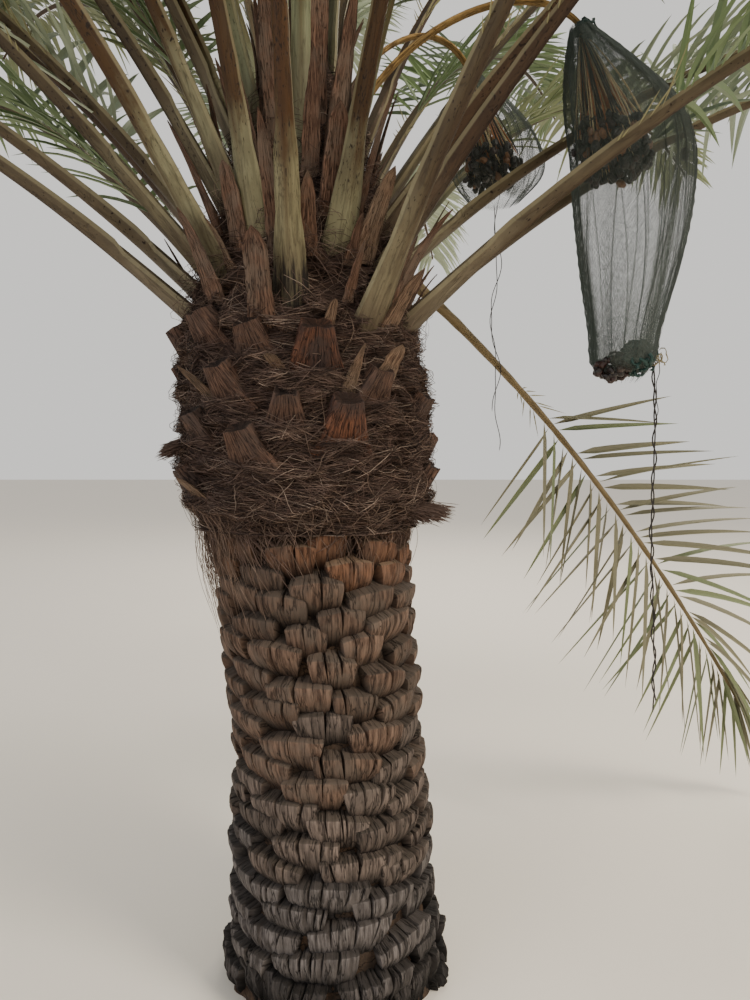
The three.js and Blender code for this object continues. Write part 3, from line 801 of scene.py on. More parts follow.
# %% Strands of the collar
STRAND_POINTS = 7
STRAND_RADIUS, FOOT_RADIUS = 0.00055, 0.0006
BROWNS = {  # colour, share of the strands, and how many cross the foot of each stub
    "dark": (0x2C211C, 0.22, 26),
    "brown": (0x493831, 0.31, 34),
    "dull": (0x594840, 0.24, 26),
    "tan": (0x6B594D, 0.17, 14),
    "pale": (0x88776A, 0.06, 0),
}
LAYERS = [  # count, heights, lengths, slope in degrees, lift off the mat
    (9500, (1.2, 1.78), (0.05, 0.19), 15, (0.0, 0.014)),
    (3400, (1.2, 1.8), (0.03, 0.12), 45, (0.0, 0.026)),
    (2600, (1.72, 2.36), (0.05, 0.17), 42, (0.0, 0.02)),
    (2200, (1.8, 2.3), (0.06, 0.18), 50, (0.01, 0.06)),
]
WANDER = 0.004  # how far a strand swings to each side
THICKNESSES = (0.6, 1.5)  # shares of the usual radius
ON_TOP = (0, 0.004)  # how high a strand lies on the others
CROSSING = {  # of the strands at a foot
    "place": 0.43,  # how far under the stub's middle, as a share of its length
    "up": (-0.03, 0.02),  # from that place, down or up
    "slope": 0.02,  # the usual rise or fall of half a strand, in metres
    "swing": 0.004,  # the usual height of its waves
    "shift": 5,  # degrees to each side
    "half_turns": (7, 15),
    "lift": 0.007,  # off the mat
    "uneven": (0, 0.006),
}


def strands(rng, count, heights, lengths, slope, lift):
    """Paths over the mat. A strand's turn grows with the cosine of its slope and its height with
    the sine; a sine wave square to that makes it wander, and half a sine wave lifts it."""
    t = np.linspace(0, 1, STRAND_POINTS)[None]
    z0 = rng.uniform(*heights, count)[:, None]
    turn0 = rng.uniform(-180, 180, count)[:, None]
    length = rng.uniform(*lengths, count)[:, None]
    angle = np.radians(rng.normal(0, slope, count))[:, None]
    phase, waves = rng.uniform(0, 6.28, (2, count, 1))
    swing = WANDER * rng.uniform(0.3, 1.5, (count, 1)) * np.sin(phase + (2 + waves) * t)
    wide = np.maximum(along(FIBRE_RADII, z0), 0.05)
    sideways = length * t * np.cos(angle) - swing * np.sin(angle)
    z = np.clip(z0 + length * t * np.sin(angle) + swing * np.cos(angle), LIP, COLLAR_TOP)
    turn = turn0 + np.degrees(sideways / wide)
    height = rng.uniform(*lift, (count, 1)) * np.sin(np.pi * t) + rng.uniform(*ON_TOP, (count, 1))
    paths = round_trunk(turn, z, collar_radius(turn, z) + height)
    return tubes(paths, STRAND_RADIUS * rng.uniform(*THICKNESSES, (count, 1)))


def foot_strands(rng, count):
    """Strands that cross the feet of the stubs, count for each. They lie further out the higher
    they cross, since a stub leans out of the mat."""
    t = np.linspace(-1, 1, STRAND_POINTS)[None]
    turn, height, size, _ = (np.repeat(column, count)[:, None] for column in np.array(STUBS).T)
    up = rng.uniform(*CROSSING["up"], turn.shape)
    slope, swing = (rng.normal(0, CROSSING[key], turn.shape) for key in ("slope", "swing"))
    z = height - STUB["length"] * size * CROSSING["place"] + up + slope * t + swing * np.sin(4 * t)
    turn = turn + rng.uniform(-CROSSING["shift"], CROSSING["shift"], turn.shape)
    turn = turn + rng.uniform(*CROSSING["half_turns"], turn.shape) * t
    lift = CROSSING["lift"] + 0.75 * np.clip(up + 0.012, 0, 1)
    lift = lift + rng.uniform(*CROSSING["uneven"], turn.shape)
    paths = round_trunk(turn, z, along(FIBRE_RADII, z) + lift * np.cos(np.pi / 2 * t) ** 0.7)
    return tubes(paths, FOOT_RADIUS * rng.uniform(*THICKNESSES, (len(z), 1)))


def strand_paint(name, code):
    """A brown with a slow change of shade."""
    material, tree, shader = new_material(name, 0.8)
    patches = effect(tree, PATCHES, scale=30.0)["Patches"]
    shade = tree.ramp(patches, 0.0, 1.0, 0.75, 1.2)
    tree.put(shader, "Base Color", tree.shaded(srgb(code), shade))
    return material


strand_rng = np.random.default_rng(31)
strand_paints = {}
for key, (code, share, at_feet) in BROWNS.items():
    strand_paints[key] = strand_paint(f"strand_{key}", code)
    heap = Heap()
    for count, *layer in LAYERS:
        heap.add(*strands(strand_rng, round(count * share), *layer))
    if at_feet:
        heap.add(*foot_strands(strand_rng, at_feet))
    heap.piece(f"strands_{key}", "trunk_bark", strand_paints[key])

# %% [markdown]
# The mat hangs over the bases as a ragged skirt, longest on the left, with loose hairs below it.
# Two clumps of fibre stick out of it, one low on the right and one higher on the left.

# %% Skirt, hairs and clumps
SKIRT_POINTS = 8
SKIRT = [  # count, turns, fall, distance off the mat, radius
    (1500, (-180, 180), (0.02, 0.12), (0.0, 0.012), 0.0008),
    (700, (-205, -118), (0.05, 0.17), (0.0, 0.022), 0.0008),
]
HAIRS = [
    (130, (-200, -120), (0.12, 0.34), (0.01, 0.05), 0.0006),
    (160, (-120, 160), (0.05, 0.16), (0.0, 0.03), 0.0006),
]
CLUMPS = [(-16.0, 1.268, 0.135), (-162.0, 1.435, 0.085)]  # turn, height, reach
CLUMP_STRANDS, CLUMP_RADIUS = 420, 0.001
CLUMP_SPREAD, CLUMP_CLOSING = 8, 4  # in degrees
CLUMP_THICK, CLUMP_DROOP, CLUMP_INSET = 0.011, (0, 0.03), 0.02
SKIRT_STARTS = (0, 0.12)  # how far above the lip
SKIRT_DRIFT = 14  # in degrees
SKIRT_WAVE = 0.006
SKIRT_LEAST = 0.27  # the least distance from the axis at the start
SKIRT_INWARDS = 0.03  # how much closer to the axis it ends


def skirt(rng, count, turns, fall, out, radius):
    """Strands that start on the lip and fall: the height drops with a power of the way along,
    the distance swells out first and comes back in, and the turn drifts."""
    t = np.linspace(0, 1, SKIRT_POINTS)[None]
    turn = rng.uniform(*turns, (count, 1)) + rng.normal(0, SKIRT_DRIFT, (count, 1)) * t
    z = LIP + rng.uniform(*SKIRT_STARTS, (count, 1)) - rng.uniform(*fall, (count, 1)) * t**1.4
    bow = rng.uniform(*out, (count, 1)) * np.sin(np.pi * np.minimum(t * 0.8, 1))
    wander = SKIRT_WAVE * np.sin(t * rng.uniform(3, 9, (count, 1)) + rng.uniform(0, 6, (count, 1)))
    base = np.maximum(along(FIBRE_RADII, z), SKIRT_LEAST) - SKIRT_INWARDS * t
    return tubes(round_trunk(turn, z, base + bow + wander), radius * rng.uniform(0.6, 1.4, (count, 1)))


def clump(rng, count, turn, height, reach):
    """Strands that stand out of the mat in one flat bundle, each bent a little down."""
    t = np.linspace(0, 1, SKIRT_POINTS)[None]
    turn = turn + rng.normal(0, CLUMP_SPREAD, (count, 1)) - rng.normal(0, CLUMP_CLOSING, (count, 1)) * t
    z = height + rng.normal(0, CLUMP_THICK, (count, 1)) * (1 - 0.4 * t)
    z = z - rng.uniform(*CLUMP_DROOP, (count, 1)) * t**2
    radius = collar_radius(turn, z) - CLUMP_INSET + reach * rng.uniform(0.35, 1, (count, 1)) * t
    return tubes(round_trunk(turn, z, radius), CLUMP_RADIUS)


skirt_rng = np.random.default_rng(41)
skirt_heap, hair_heap = Heap(), Heap()
for row in SKIRT:
    skirt_heap.add(*skirt(skirt_rng, *row))
for row in CLUMPS:
    skirt_heap.add(*clump(skirt_rng, CLUMP_STRANDS, *row))
for row in HAIRS:
    hair_heap.add(*skirt(skirt_rng, *row))
skirt_heap.piece("fibre_skirt", "trunk_bark", strand_paints["dull"])
hair_heap.piece("loose_hairs", "trunk_bark", strand_paints["tan"])

# %% [markdown]
# A stub is a flat tapering block with rounded edges. It slants to one side, flares where it grows
# out of the mat, and its square top shows the cut. Two of them are still red.

# %% Cut stubs
STUB_ROWS, STUB_CORNERS = 14, 28
RED_STUBS = (3, 8)  # the two whose wood is still red


def flat_block(middle, run, side, rows, wide, thick, seed, round_off=0.4):
    """A block carried along its run: each ring is a rounded oblong, |x|^5 + |y|^5 = 1 times half
    the width and half the thickness there, with ripples that follow the run. The last ring is
    closed by a cut face that is slightly hollow."""
    a = np.arange(STUB_CORNERS) * 2 * np.pi / STUB_CORNERS
    x = np.sign(np.cos(a)) * np.abs(np.cos(a)) ** round_off
    y = np.sign(np.sin(a)) * np.abs(np.sin(a)) ** round_off
    run, side = np.broadcast_to(run, middle.shape), np.broadcast_to(side, middle.shape)
    face = np.cross(run, side)
    run = run[-1]
    grooves = 1 + 0.05 * ripples([x * 7 + seed, y * 7], 51)
    ring = side[:, None] * (x * grooves)[:, None] * wide[:, None, None] / 2
    ring = ring + face[:, None] * (y * grooves)[:, None] * thick[:, None, None] / 2
    points = middle[:, None] + ring
    rough = 0.003 * ripples([x * 5 + seed, y * 5 - seed], 52)[:, None] * min(1, thick[-1] / 0.03)
    points[-1] += run * rough
    top = middle[-1] + (points[-1] - middle[-1]) * 0.86 + run * 0.001
    inner = middle[-1] + (points[-1] - middle[-1]) * 0.5 - run * (0.004 + rough)
    points = np.concatenate([points.reshape(-1, 3), top, inner, [middle[-1] - run * 0.006]])
    rings = len(wide) + 2
    centre = rings * STUB_CORNERS
    faces = [grid_quads(rings, STUB_CORNERS)]
    faces.append(fan(np.arange(STUB_CORNERS) + centre - STUB_CORNERS, centre, False))
    faces.append(fan(np.arange(STUB_CORNERS), 0, True)[1:-1])
    length = np.concatenate([np.repeat(rows, STUB_CORNERS), np.full(2 * STUB_CORNERS + 1, rows[-1])])
    across = np.concatenate([np.tile(x * 0.04 + y * 0.013, rings), [0]])
    grain = np.stack([across, length, np.full_like(length, seed)], -1)
    mark = np.zeros(len(points))
    mark[len(wide) * STUB_CORNERS :] = 1
    return points, faces, grain, mark


def leaning(turn, lean, slant):
    """The way a thing on the trunk runs: out from upright by the lean and to the left by the
    slant, both in degrees."""
    lean = np.radians(lean)
    aside = side_at(turn) * math.tan(math.radians(slant))
    return unit(UP * np.cos(lean) + out_at(turn) * np.sin(lean) + aside)


def stub(turn, height, size, slant, seed):
    """A cut stub: its width falls from foot to head and flares where it leaves the mat."""
    run = leaning(turn, STUB["lean"], slant)
    side = unit(np.cross(run, np.cross(side_at(turn), run)))
    t = np.linspace(-1, 1, STUB_ROWS)
    middle = round_trunk(turn, height, along(FIBRE_RADII, height) - STUB["sink"])
    path = middle + run * (t * STUB["length"] * size / 2)[:, None]
    low = np.clip((0.2 - t) / 1.2, 0, 1)
    wide = size * (mix(STUB["foot"], STUB["head"], (t + 1) / 2) + STUB["flare"] * low**2)
    thick = size * STUB["thick"] * (1 + STUB["thicker"] * low**2)
    points, faces, grain, mark = flat_block(path, run, side, t * size * 0.056, wide, thick, seed)
    return points, faces, grain, 0.3 + 0.5 * abs(math.sin(seed * 2.3)), mark


# the fifth colour of each wood is its hollow cut top's, nearly black, partly its own and partly painted
# shade
STUB_WOODS = {
    "red": wood("stub_red", 0x895A43, 0x3F281E, 0x4A3D39, 0x120A07, 0x2E2019, 300.0, 14.0, 0.9),
    "brown": wood("stub_brown", 0x765A4B, 0x3D2B24, 0x50443F, 0x120A07, 0x1E1613, 300.0, 14.0),
}
stub_heaps = {key: Heap() for key in STUB_WOODS}
for i, (turn, height, size, slant) in enumerate(STUBS):
    stub_heaps["red" if i in RED_STUBS else "brown"].add(*stub(turn, height, size, slant, i * 1.7))
for key, heap in stub_heaps.items():
    heap.piece(f"frond_stubs_{key}", "trunk_bark", STUB_WOODS[key], crease=50)

# %% [markdown]
# Among the fronds stand dry red-brown sheaths, strips of old leaf base that split off at the
# sides of a stalk. A few are broad, eight long thin ones stand in the middle of the head, and
# short loose ones fill the spaces. Lower down some have broken off, and those are paler. Each is
# the same block with a width that falls to nothing, bent a little outwards.

# %% Dry sheaths
SHEATH_INSET = 0.012  # how deep in the mat a sheath starts
TALL = {"lean": 16.0, "wide": 0.078, "thick": 0.028, "bend": 6, "below": 0.4, "blunt": 12}
INNER_THICK, INNER_BEND = 0.014, 8
BROKEN_THICK, BROKEN_BEND = 0.012, 12
LOOSE_HEIGHTS, LOOSE_LEANS = (1.74, 2.3), (28, 6)
LOOSE_LENGTHS, LOOSE_WIDTHS = (0.12, 0.34), (0.018, 0.048)
LOOSE_THICK, LOOSE_BENDS = 0.008, (0, 25)
TALL_SHEATHS = [  # turn, height, size, length
    (-102, 1.775, 0.62, 0.23),
    (-122, 1.96, 0.55, 0.21),
    (-66, 2.06, 0.6, 0.26),
    (-38, 1.83, 0.6, 0.22),
    (140, 1.83, 0.6, 0.2),
    (60, 1.9, 0.6, 0.21),
]
INNER_SHEATHS = [  # turn, height, lean, length, width, slant to the left
    (-118, 2.02, 13, 0.42, 0.04, 5),
    (-101, 2.08, 8, 0.5, 0.046, 3),
    (-86, 2.2, 4, 0.44, 0.042, 1),
    (-74, 2.12, 6, 0.54, 0.05, -1),
    (-60, 2.05, 9, 0.46, 0.044, -3),
    (100, 2.08, 8, 0.48, 0.046, 2),
    (152, 2.04, 9, 0.46, 0.044, 3),
    (40, 2.1, 8, 0.5, 0.046, -2),
]
BROKEN_SHEATHS = [  # turn, height, lean, length, width, slant to the left, blunt
    (-122, 1.515, 30, 0.14, 0.026, 34, 6),
    (-67, 1.535, 26, 0.14, 0.027, -10, 2),
    (-52, 1.535, 24, 0.145, 0.052, -12, 9),
    (-92, 1.585, 42, 0.075, 0.028, 26, 14),
    (-66, 1.446, 35, 0.09, 0.012, -72, 3),
    (-133, 1.262, 38, 0.14, 0.042, 26, 10),
    (-73, 1.7, 24, 0.066, 0.02, -10, 8),
    (-49, 1.85, 20, 0.24, 0.05, -6, 5),
    (-44, 1.68, 30, 0.19, 0.044, -10, 5),
    (-127, 1.82, 26, 0.17, 0.05, 8, 5),
    (-60, 1.9, 14, 0.2, 0.036, -4, 4),
    (-97, 1.36, 16, 0.04, 0.02, 20, 8),
]
LOOSE_SHEATHS = 62
SHEATH_ROWS = 18


def sheath(turn, height, lean, length, wide, thick, bend, seed, blunt=3.5, slant=0.0):
    """A strip: the lean grows along it, and its width is 1 minus a power of the way along, which
    makes a point, or with a high power a round end."""
    t = np.linspace(0, 1, SHEATH_ROWS)
    step = leaning(turn, (lean + bend * t**2)[:, None], slant)
    start = round_trunk(turn, height, along(FIBRE_RADII, height) - SHEATH_INSET)
    path = start + np.cumsum(step, 0) * length / SHEATH_ROWS
    ragged = 1 + 0.1 * ripples([t * 14 + seed, t * 3], 61)
    width = wide * (1 - t**blunt) ** 0.8 * (1 + 0.35 * (1 - t) ** 3) * ragged + 0.002
    points, faces, grain, mark = flat_block(
        path, step[0], side_at(turn), t * length, width, thick * (1 - 0.75 * t), seed
    )
    return points, faces, grain, 0.25 + 0.6 * abs(math.sin(seed * 1.9)), mark * 0


SHEATH_WOOD = wood("sheath_wood", 0x8F6D59, 0x513A2E, 0x7C6B5D, 0x1A0F0B, 0x6E4331, scale=170.0, amount=0.8)
sheath_heap = Heap()
for i, (turn, height, size, length) in enumerate(TALL_SHEATHS):
    low, wide = height - TALL["below"] * length, TALL["wide"] * size
    looks = (TALL["thick"], TALL["bend"], i * 2.1, TALL["blunt"])
    sheath_heap.add(*sheath(turn, low, TALL["lean"], length, wide, *looks))
sheath_rng = np.random.default_rng(63)
for i in range(LOOSE_SHEATHS):
    height = sheath_rng.uniform(*LOOSE_HEIGHTS)
    length = sheath_rng.uniform(*LOOSE_LENGTHS)
    wide = sheath_rng.uniform(*LOOSE_WIDTHS)
    share = (height - LOOSE_HEIGHTS[0]) / (LOOSE_HEIGHTS[1] - LOOSE_HEIGHTS[0])
    lean = mix(*LOOSE_LEANS, share) + sheath_rng.normal(0, 4)
    turn = (i * GOLDEN_TURN + 20) % 360
    looks = (LOOSE_THICK, sheath_rng.uniform(*LOOSE_BENDS), i * 3.3)
    sheath_heap.add(*sheath(turn, height, lean, length, wide, *looks))
for i, (*row, slant) in enumerate(INNER_SHEATHS):
    sheath_heap.add(*sheath(*row, INNER_THICK, INNER_BEND, i * 4.1, slant=slant))
sheath_heap.piece("dry_sheaths", "trunk_bark", SHEATH_WOOD, crease=50)
splinter_heap = Heap()
for i, (*row, slant, blunt) in enumerate(BROKEN_SHEATHS):
    splinter_heap.add(*sheath(*row, BROKEN_THICK, BROKEN_BEND, i * 2.7, blunt, slant))
SPLINTER = wood("splinter", 0x9A7F68, 0x5A4233, 0x7A6A5A, 0x1A0F0B, 0x6E5A48, scale=200.0, amount=0.6)
splinter_heap.piece("broken_sheaths", "trunk_bark", SPLINTER, crease=50)

# %% [markdown]
# Forty fronds make the head of the tree. One row holds a frond's numbers: where its foot stands
# on the trunk, how far it leans from upright at the foot and at the tip, and its length. Its line
# is found by adding up short steps in the direction of the lean, which grows with a power of the
# way along. Those in front follow the photograph; those behind follow the golden spiral, from the
# oldest and lowest to the youngest. At one place of the spiral a bunch comes out instead.

# %% Lines of the fronds
STALK_LENGTH = 0.82  # from the foot to the first leaflet
SHORT_STALK = 0.45  # of the fronds at the back on the left
FOOT_INSET = 0.78  # the line starts at this share of the trunk's radius
LEAN_GROWTH = 1.5
MOST_TWIST = 34.0
ROLL_OVER = 0.5  # the way over which a turned frond turns
YOUNG_SHARE = 0.55  # how thin the ribs at the very top are
LINE_STEPS = 400
RIB_SIZES = [  # place along the rib, width, depth
    (0, 0.1, 0.058),
    (0.09, 0.075, 0.05),
    (0.25, 0.047, 0.042),
    (0.54, 0.037, 0.034),
    (0.88, 0.031, 0.028),
    (1.9, 0.023, 0.019),
    (3.2, 0.01, 0.008),
]
SHOWN_FRONDS = [  # turn, height, lean at the foot and the tip, length, paint, sheath's end
    (-168, 1.73, 50, 112, 2.9, "tan", 0.3),
    (-176, 1.79, 48, 110, 3.0, "tan", 0.24),
    (-163, 1.83, 40, 100, 3.05, "scurfy", 0.4),
    (-178, 1.91, 40, 100, 3.1, "scurfy", 0.3),
    (-134, 1.8, 35, 96, 3.1, "olive", 0.42),
    (-165, 1.99, 30, 92, 3.1, "scurfy", 0.3),
    (-147, 1.99, 24, 86, 3.1, "olive", 0.4),
    (-174, 2.12, 23, 82, 3.0, "tan", 0.25),
    (-146, 2.19, 14, 72, 2.9, "green", 0.35),
    (-114, 1.87, 17, 80, 3.1, "olive", 0.3),
    (-90, 1.7, 16, 88, 3.1, "stained", 0.4),
    (-84, 2.09, 7, 66, 2.95, "green", 0.5),
    (-60, 1.87, 22, 85, 3.1, "olive", 0.26),
    (-44, 2.06, 22, 80, 3.05, "green", 0.3),
    (-50, 1.672, 34, 92, 3.1, "scurfy", 0.34),
    (-26, 1.83, 38, 94, 3.1, "brown", 0.3),
    (-13, 1.93, 38, 94, 3.1, "brown", 0.26),
    (14, 1.86, 50, 106, 3.0, "tan", 0.3),
    (-17, 1.7, 50, 110, 3.0, "tan", 0.36),
]
BACK_FRONDS, YOUNG_FRONDS = 18, 3
BUNCH_PLACE = 16  # the small bunch's place in the spiral
ASIDE_PLACE, ASIDE_TURN = 3, 12  # one frond stands aside of a bunch's stalk
BACK_PAINTS = ["tan", "olive", "scurfy", "green", "olive", "brown"]


def frond_rows():
    """Every frond's numbers by its name in the frame. Its twist follows its place in the list."""
    rows = []

    def row(name, turn, height, lean, tip, length, paint="green", sheath_end=0.3, **more):
        twist = MOST_TWIST * math.sin(len(rows) * 2.4)
        base = {"power": LEAN_GROWTH, "roll": 0, "twist": twist, "bare": STALK_LENGTH, "dried": 1}
        shape = {"turn": turn, "height": height, "lean": lean, "tip": tip, "length": length}
        rows.append({"name": name, **base, **shape, "paint": paint, "end": sheath_end, **more})

    for i, shown in enumerate(SHOWN_FRONDS):
        row(f"frond_front_{i + 1}", *shown)
    row("frond_hanging", 29, 1.985, 108, 142, 2.35, "straw", 0.2, power=0.38, roll=-62, dried=0.74)
    for i in range(BACK_FRONDS):
        if i == BUNCH_PLACE:
            continue
        age = (i + 0.5) / BACK_FRONDS
        turn = mix(12, 188, (i * GOLDEN_TURN / 360) % 1) + (ASIDE_TURN if i == ASIDE_PLACE else 0)
        shape = (mix(1.72, 2.28, age), mix(52, 12, age), mix(112, 74, age), mix(3.1, 2.9, age))
        bare = SHORT_STALK if turn > 135 else STALK_LENGTH
        looks = (BACK_PAINTS[i % len(BACK_PAINTS)], 0.25 + 0.2 * (i * 0.618 % 1))
        row(f"frond_back_{i + 1}", turn, *shape, *looks, bare=bare)
    for i in range(YOUNG_FRONDS):
        row(f"frond_young_{i + 1}", 40 + 120 * i, 2.33 + 0.04 * i, 5, 42, 2.45, "green", 0.6)
    return rows


def frond_line(frond, places):
    """Points along a frond's line, with the way it runs, the side it widens to and the way its
    upper face looks. The twist and the roll turn side and face about the run."""
    fine = np.linspace(0, 1, LINE_STEPS + 1)
    half = (fine[1:] + fine[:-1]) / 2

    def run_at(share):
        lean = np.radians(mix(frond["lean"], frond["tip"], share ** frond["power"]))[:, None]
        return UP * np.cos(lean) + out_at(frond["turn"]) * np.sin(lean)

    steps = run_at(half) * frond["length"] / len(half)
    line = np.concatenate([np.zeros((1, 3)), np.cumsum(steps, 0)])
    radius = along(FIBRE_RADII, frond["height"])
    share = np.clip(places / frond["length"], 0, 1)
    at = np.stack([np.interp(share, fine, line[:, k]) for k in range(3)], -1)
    at = at + round_trunk(frond["turn"], frond["height"], radius * FOOT_INSET)
    run = run_at(share)
    side, face = side_at(frond["turn"]) + 0 * run, np.cross(side_at(frond["turn"]), run)
    turned = frond["twist"] * share**2 + frond["roll"] * np.minimum(1, places / ROLL_OVER)
    c, s = np.cos(np.radians(turned))[:, None], np.sin(np.radians(turned))[:, None]
    thin = mix(YOUNG_SHARE, 1, min(1, radius / FIBRE_RADII[1][1])) * frond["dried"]
    return at, run, side * c - face * s, face * c + side * s, thin


FRONDS = frond_rows()
print(len(FRONDS), "fronds, the longest", max(f["length"] for f in FRONDS), "m")

# %% [markdown]
# A frond's stalk is flat above and rounded below, with thin pale margins, and it flares into a
# clasping sheath at its foot. Further on it becomes the slender rib that carries the leaflets.
# The margins' pale is partly their own colour and partly a painted highlight along the edges.
# The section is one ring of sixteen corners that is scaled by the width and depth at each place.
# Where the sheath ends, the margins step in, and the colour changes from pale to brown.

# %% Ribs
RIB_STATIONS = 60
SECTION_ANGLES = np.array([0, 10, 32, 58, 90, 122, 148, 170, 180, 192, 222, 252, 270, 288, 318, 348])
EDGE, KEEL = 0.3, 1.0  # of the depth: the margins above the line, and the round under them
CHANNEL = 0.2  # how deep the upper side is hollowed
SHEATH_STEP = 0.0055  # how much wider each margin is on the sheath
STEP_OVER = 0.006  # the way over which it steps in
AT_MARGIN = 0.97  # the section's corners with a larger cosine lie on the margins
RIB_PLACE = 0.36  # the grain's coordinate along, where the sheath ends
RIB_WOBBLE, RIB_ROUGH = 0.0025, 0.001


def rib(frond, seed):
    """Rings of the section along the line. Going round, x is the cosine; the lower half is the
    margin's height minus a sine, and the upper half a shallow channel that fills up along the
    blade. The last ring closes to a point."""
    t = np.linspace(0, 1, RIB_STATIONS) ** 1.25
    s = t * frond["length"]
    at, _, side, face, thin = frond_line(frond, s)
    a = np.radians(SECTION_ANGLES)[None]
    on_sheath = 1 / (1 + np.exp((s - frond["end"]) / STEP_OVER))
    width = along(RIB_SIZES, s) * thin / 2 + SHEATH_STEP * on_sheath
    depth = along(RIB_SIZES, s, 2) * thin
    wobble = RIB_WOBBLE * ripples([s * 9 + seed, s * 2], 71) * (1 - t)
    margin = (np.abs(np.cos(a)) > AT_MARGIN) * on_sheath[:, None]
    x = np.cos(a) * (width + RIB_ROUGH * ripples([s * 60 + seed, s], 72))[:, None]
    low = EDGE - KEEL * np.abs(np.sin(a)) ** 0.85
    hollow = CHANNEL * np.clip(1 - s / 1.3, -0.5, 1)[:, None]
    high = EDGE - hollow * np.abs(np.sin(a)) ** 0.7
    y = np.where(a <= np.pi, low, high) * depth[:, None] + wobble[:, None]
    y = y - margin * 0.3 * depth[:, None]
    points = at[:, None] + side[:, None] * x[..., None] + face[:, None] * y[..., None]
    points = np.concatenate([points.reshape(-1, 3), at[:1], at[-1:] + (at[-1:] - at[-2:-1]) * 0.4])
    length = (s - frond["end"] + RIB_PLACE)[:, None] + 0 * x
    grain = np.stack([x, length, 0 * x + seed], -1).reshape(-1, 3)
    grain = np.concatenate([grain, grain[:1], grain[-1:]])
    stripe = np.clip(np.sin(a), 0, 1) ** 6 * np.clip(s / 0.5, 0, 1)[:, None]
    mark = (np.abs(np.cos(a)) > AT_MARGIN) * (1.0 + 0 * x) - stripe
    mark = np.concatenate([mark.ravel(), [0, 0]])
    return points, lathe_faces(RIB_STATIONS, a.shape[1]), grain, mark


# %% [markdown]
# The stalks' colours change along them, so the material reads the place along from the grain's
# coordinates, which are the same at every sheath's end. Scurf and spots are one effect at two
# scales.

# %% Paints of the ribs, and the ribs
RIB_COLOURS = {  # the foot, the stalk, its keel, dark streaks, amount of flecks, stain at the foot
    "green": (0x9B9F7C, 0x6A6742, 0x5F4D2E, 0x4B4E34, 0.42),
    "olive": (0xA29D7A, 0x543D22, 0x4E351D, 0x3A2C1C, 0.5),
    "stained": (0xA59C76, 0x604224, 0x56391F, 0x3E2C1C, 0.56, 0.95),
    "brown": (0x86745E, 0x5C4632, 0x3F2C21, 0x2C201A, 0.5),
    "scurfy": (0x887D61, 0x61533C, 0x493828, 0x30261D, 0.46),
    "tan": (0x988B72, 0x75674F, 0x5A4836, 0x443829, 0.4),
    "straw": (0x9C8F76, 0x9E8A66, 0x85734F, 0x7A6748, 0.3),
}
# MARGIN_AND_HIGHLIGHT is the margins' pale, partly their own colour and partly a painted highlight
SPLIT, FLECK, MARGIN_AND_HIGHLIGHT, DIRT, STAIN = 0x2A1C14, 0x261A13, 0xB8AE88, 0x5C4A3C, 0x241C19


def rib_paint(name, foot, stalk, keel, dark, flecks, stain=0.0):
    """A stalk's colours: the foot's below the sheath's end, the stalk's above it, a keel stripe
    where the mark is below nought and a pale margin where it is above, which is partly the
    margin's own colour and partly a painted highlight, dark streaks and flecks along the grain,
    and dirt or a dark stain at the very foot."""
    material, tree, shader = new_material(name, 0.6)
    grain = effect(tree, GRAIN, scale=110.0, stretch=14.0, split_width=0.02)
    patches = effect(tree, PATCHES, scale=7.0)["Patches"]
    place = tree.node("SeparateXYZ", {0: tree.attribute("grain", "Vector")}).outputs["Y"]
    mark = tree.attribute("mark")
    blurred = tree.math("ADD", place, tree.times(patches, 0.05))
    uneven = tree.math("SUBTRACT", grain["Streaks"], 0.5)
    mottled = tree.math("ADD", blurred, tree.times(uneven, 0.3))
    scurf = effect(tree, FLECKS, scale=430.0, amount=flecks)["Flecks"]
    spots = effect(tree, FLECKS, scale=210.0, amount=flecks * 0.75)["Flecks"]
    above = tree.ramp(blurred, 0.2, 0.4, 0.2, 0.95)
    ragged = tree.math("ADD", place, tree.times(grain["Streaks"], 0.3))
    stained = tree.ramp(ragged, 0.29, 0.21, 0.0, stain)
    streaked = tree.ramp(grain["Streaks"], 0.62, 0.42, 0.45, 1.0)
    layers = [  # share, colour
        (tree.ramp(mottled, 0.3, 0.46), stalk),
        (tree.times(tree.ramp(mark, -0.1, -0.8), 0.8), keel),
        (tree.times(patches, 0.3), keel),
        (tree.times(tree.ramp(grain["Streaks"], 0.6, 0.4), 0.35), dark),
        (tree.times(grain["Splits"], 0.3), SPLIT),
        (tree.times(tree.math("MAXIMUM", scurf, spots), above), FLECK),
        # the pale margins: partly their own colour, partly a painted highlight along the edges
        (tree.ramp(mark, 0.65, 1.0, 0.0, 0.45), MARGIN_AND_HIGHLIGHT),
        (tree.ramp(blurred, 0.2, 0.1, 0.0, 0.45), DIRT),
        (tree.times(stained, streaked), STAIN),
    ]
    colour = foot
    for share, over in layers:
        colour = tree.blend(share, colour, over)
    shade = tree.ramp(tree.attribute("tone"), 0.0, 1.0, 0.42, 0.77)
    tree.put(shader, "Base Color", tree.shaded(colour, shade))
    bump(tree, shader, grain["Height"], 0.0015)
    return material


rib_heaps = {paint: Heap() for paint in RIB_COLOURS}
for i, frond in enumerate(FRONDS):
    points, faces, grain, mark = rib(frond, i * 1.3)
    rib_heaps[frond["paint"]].add(points, faces, grain, 0.3 + 0.5 * (i * 0.618 % 1), mark)
for paint, heap in rib_heaps.items():
    nodes = [f["name"] for f in FRONDS if f["paint"] == paint]
    material = rib_paint(f"rib_{paint}", *RIB_COLOURS[paint])
    heap.piece(f"ribs_{paint}", "frond_leaf", material, crease=60, stands_for=nodes)

# %% [markdown]
# Between the stalk and the blade a palm frond has spines, which are leaflets grown as short
# thorns. They stand on both margins and get longer towards the first leaflets.

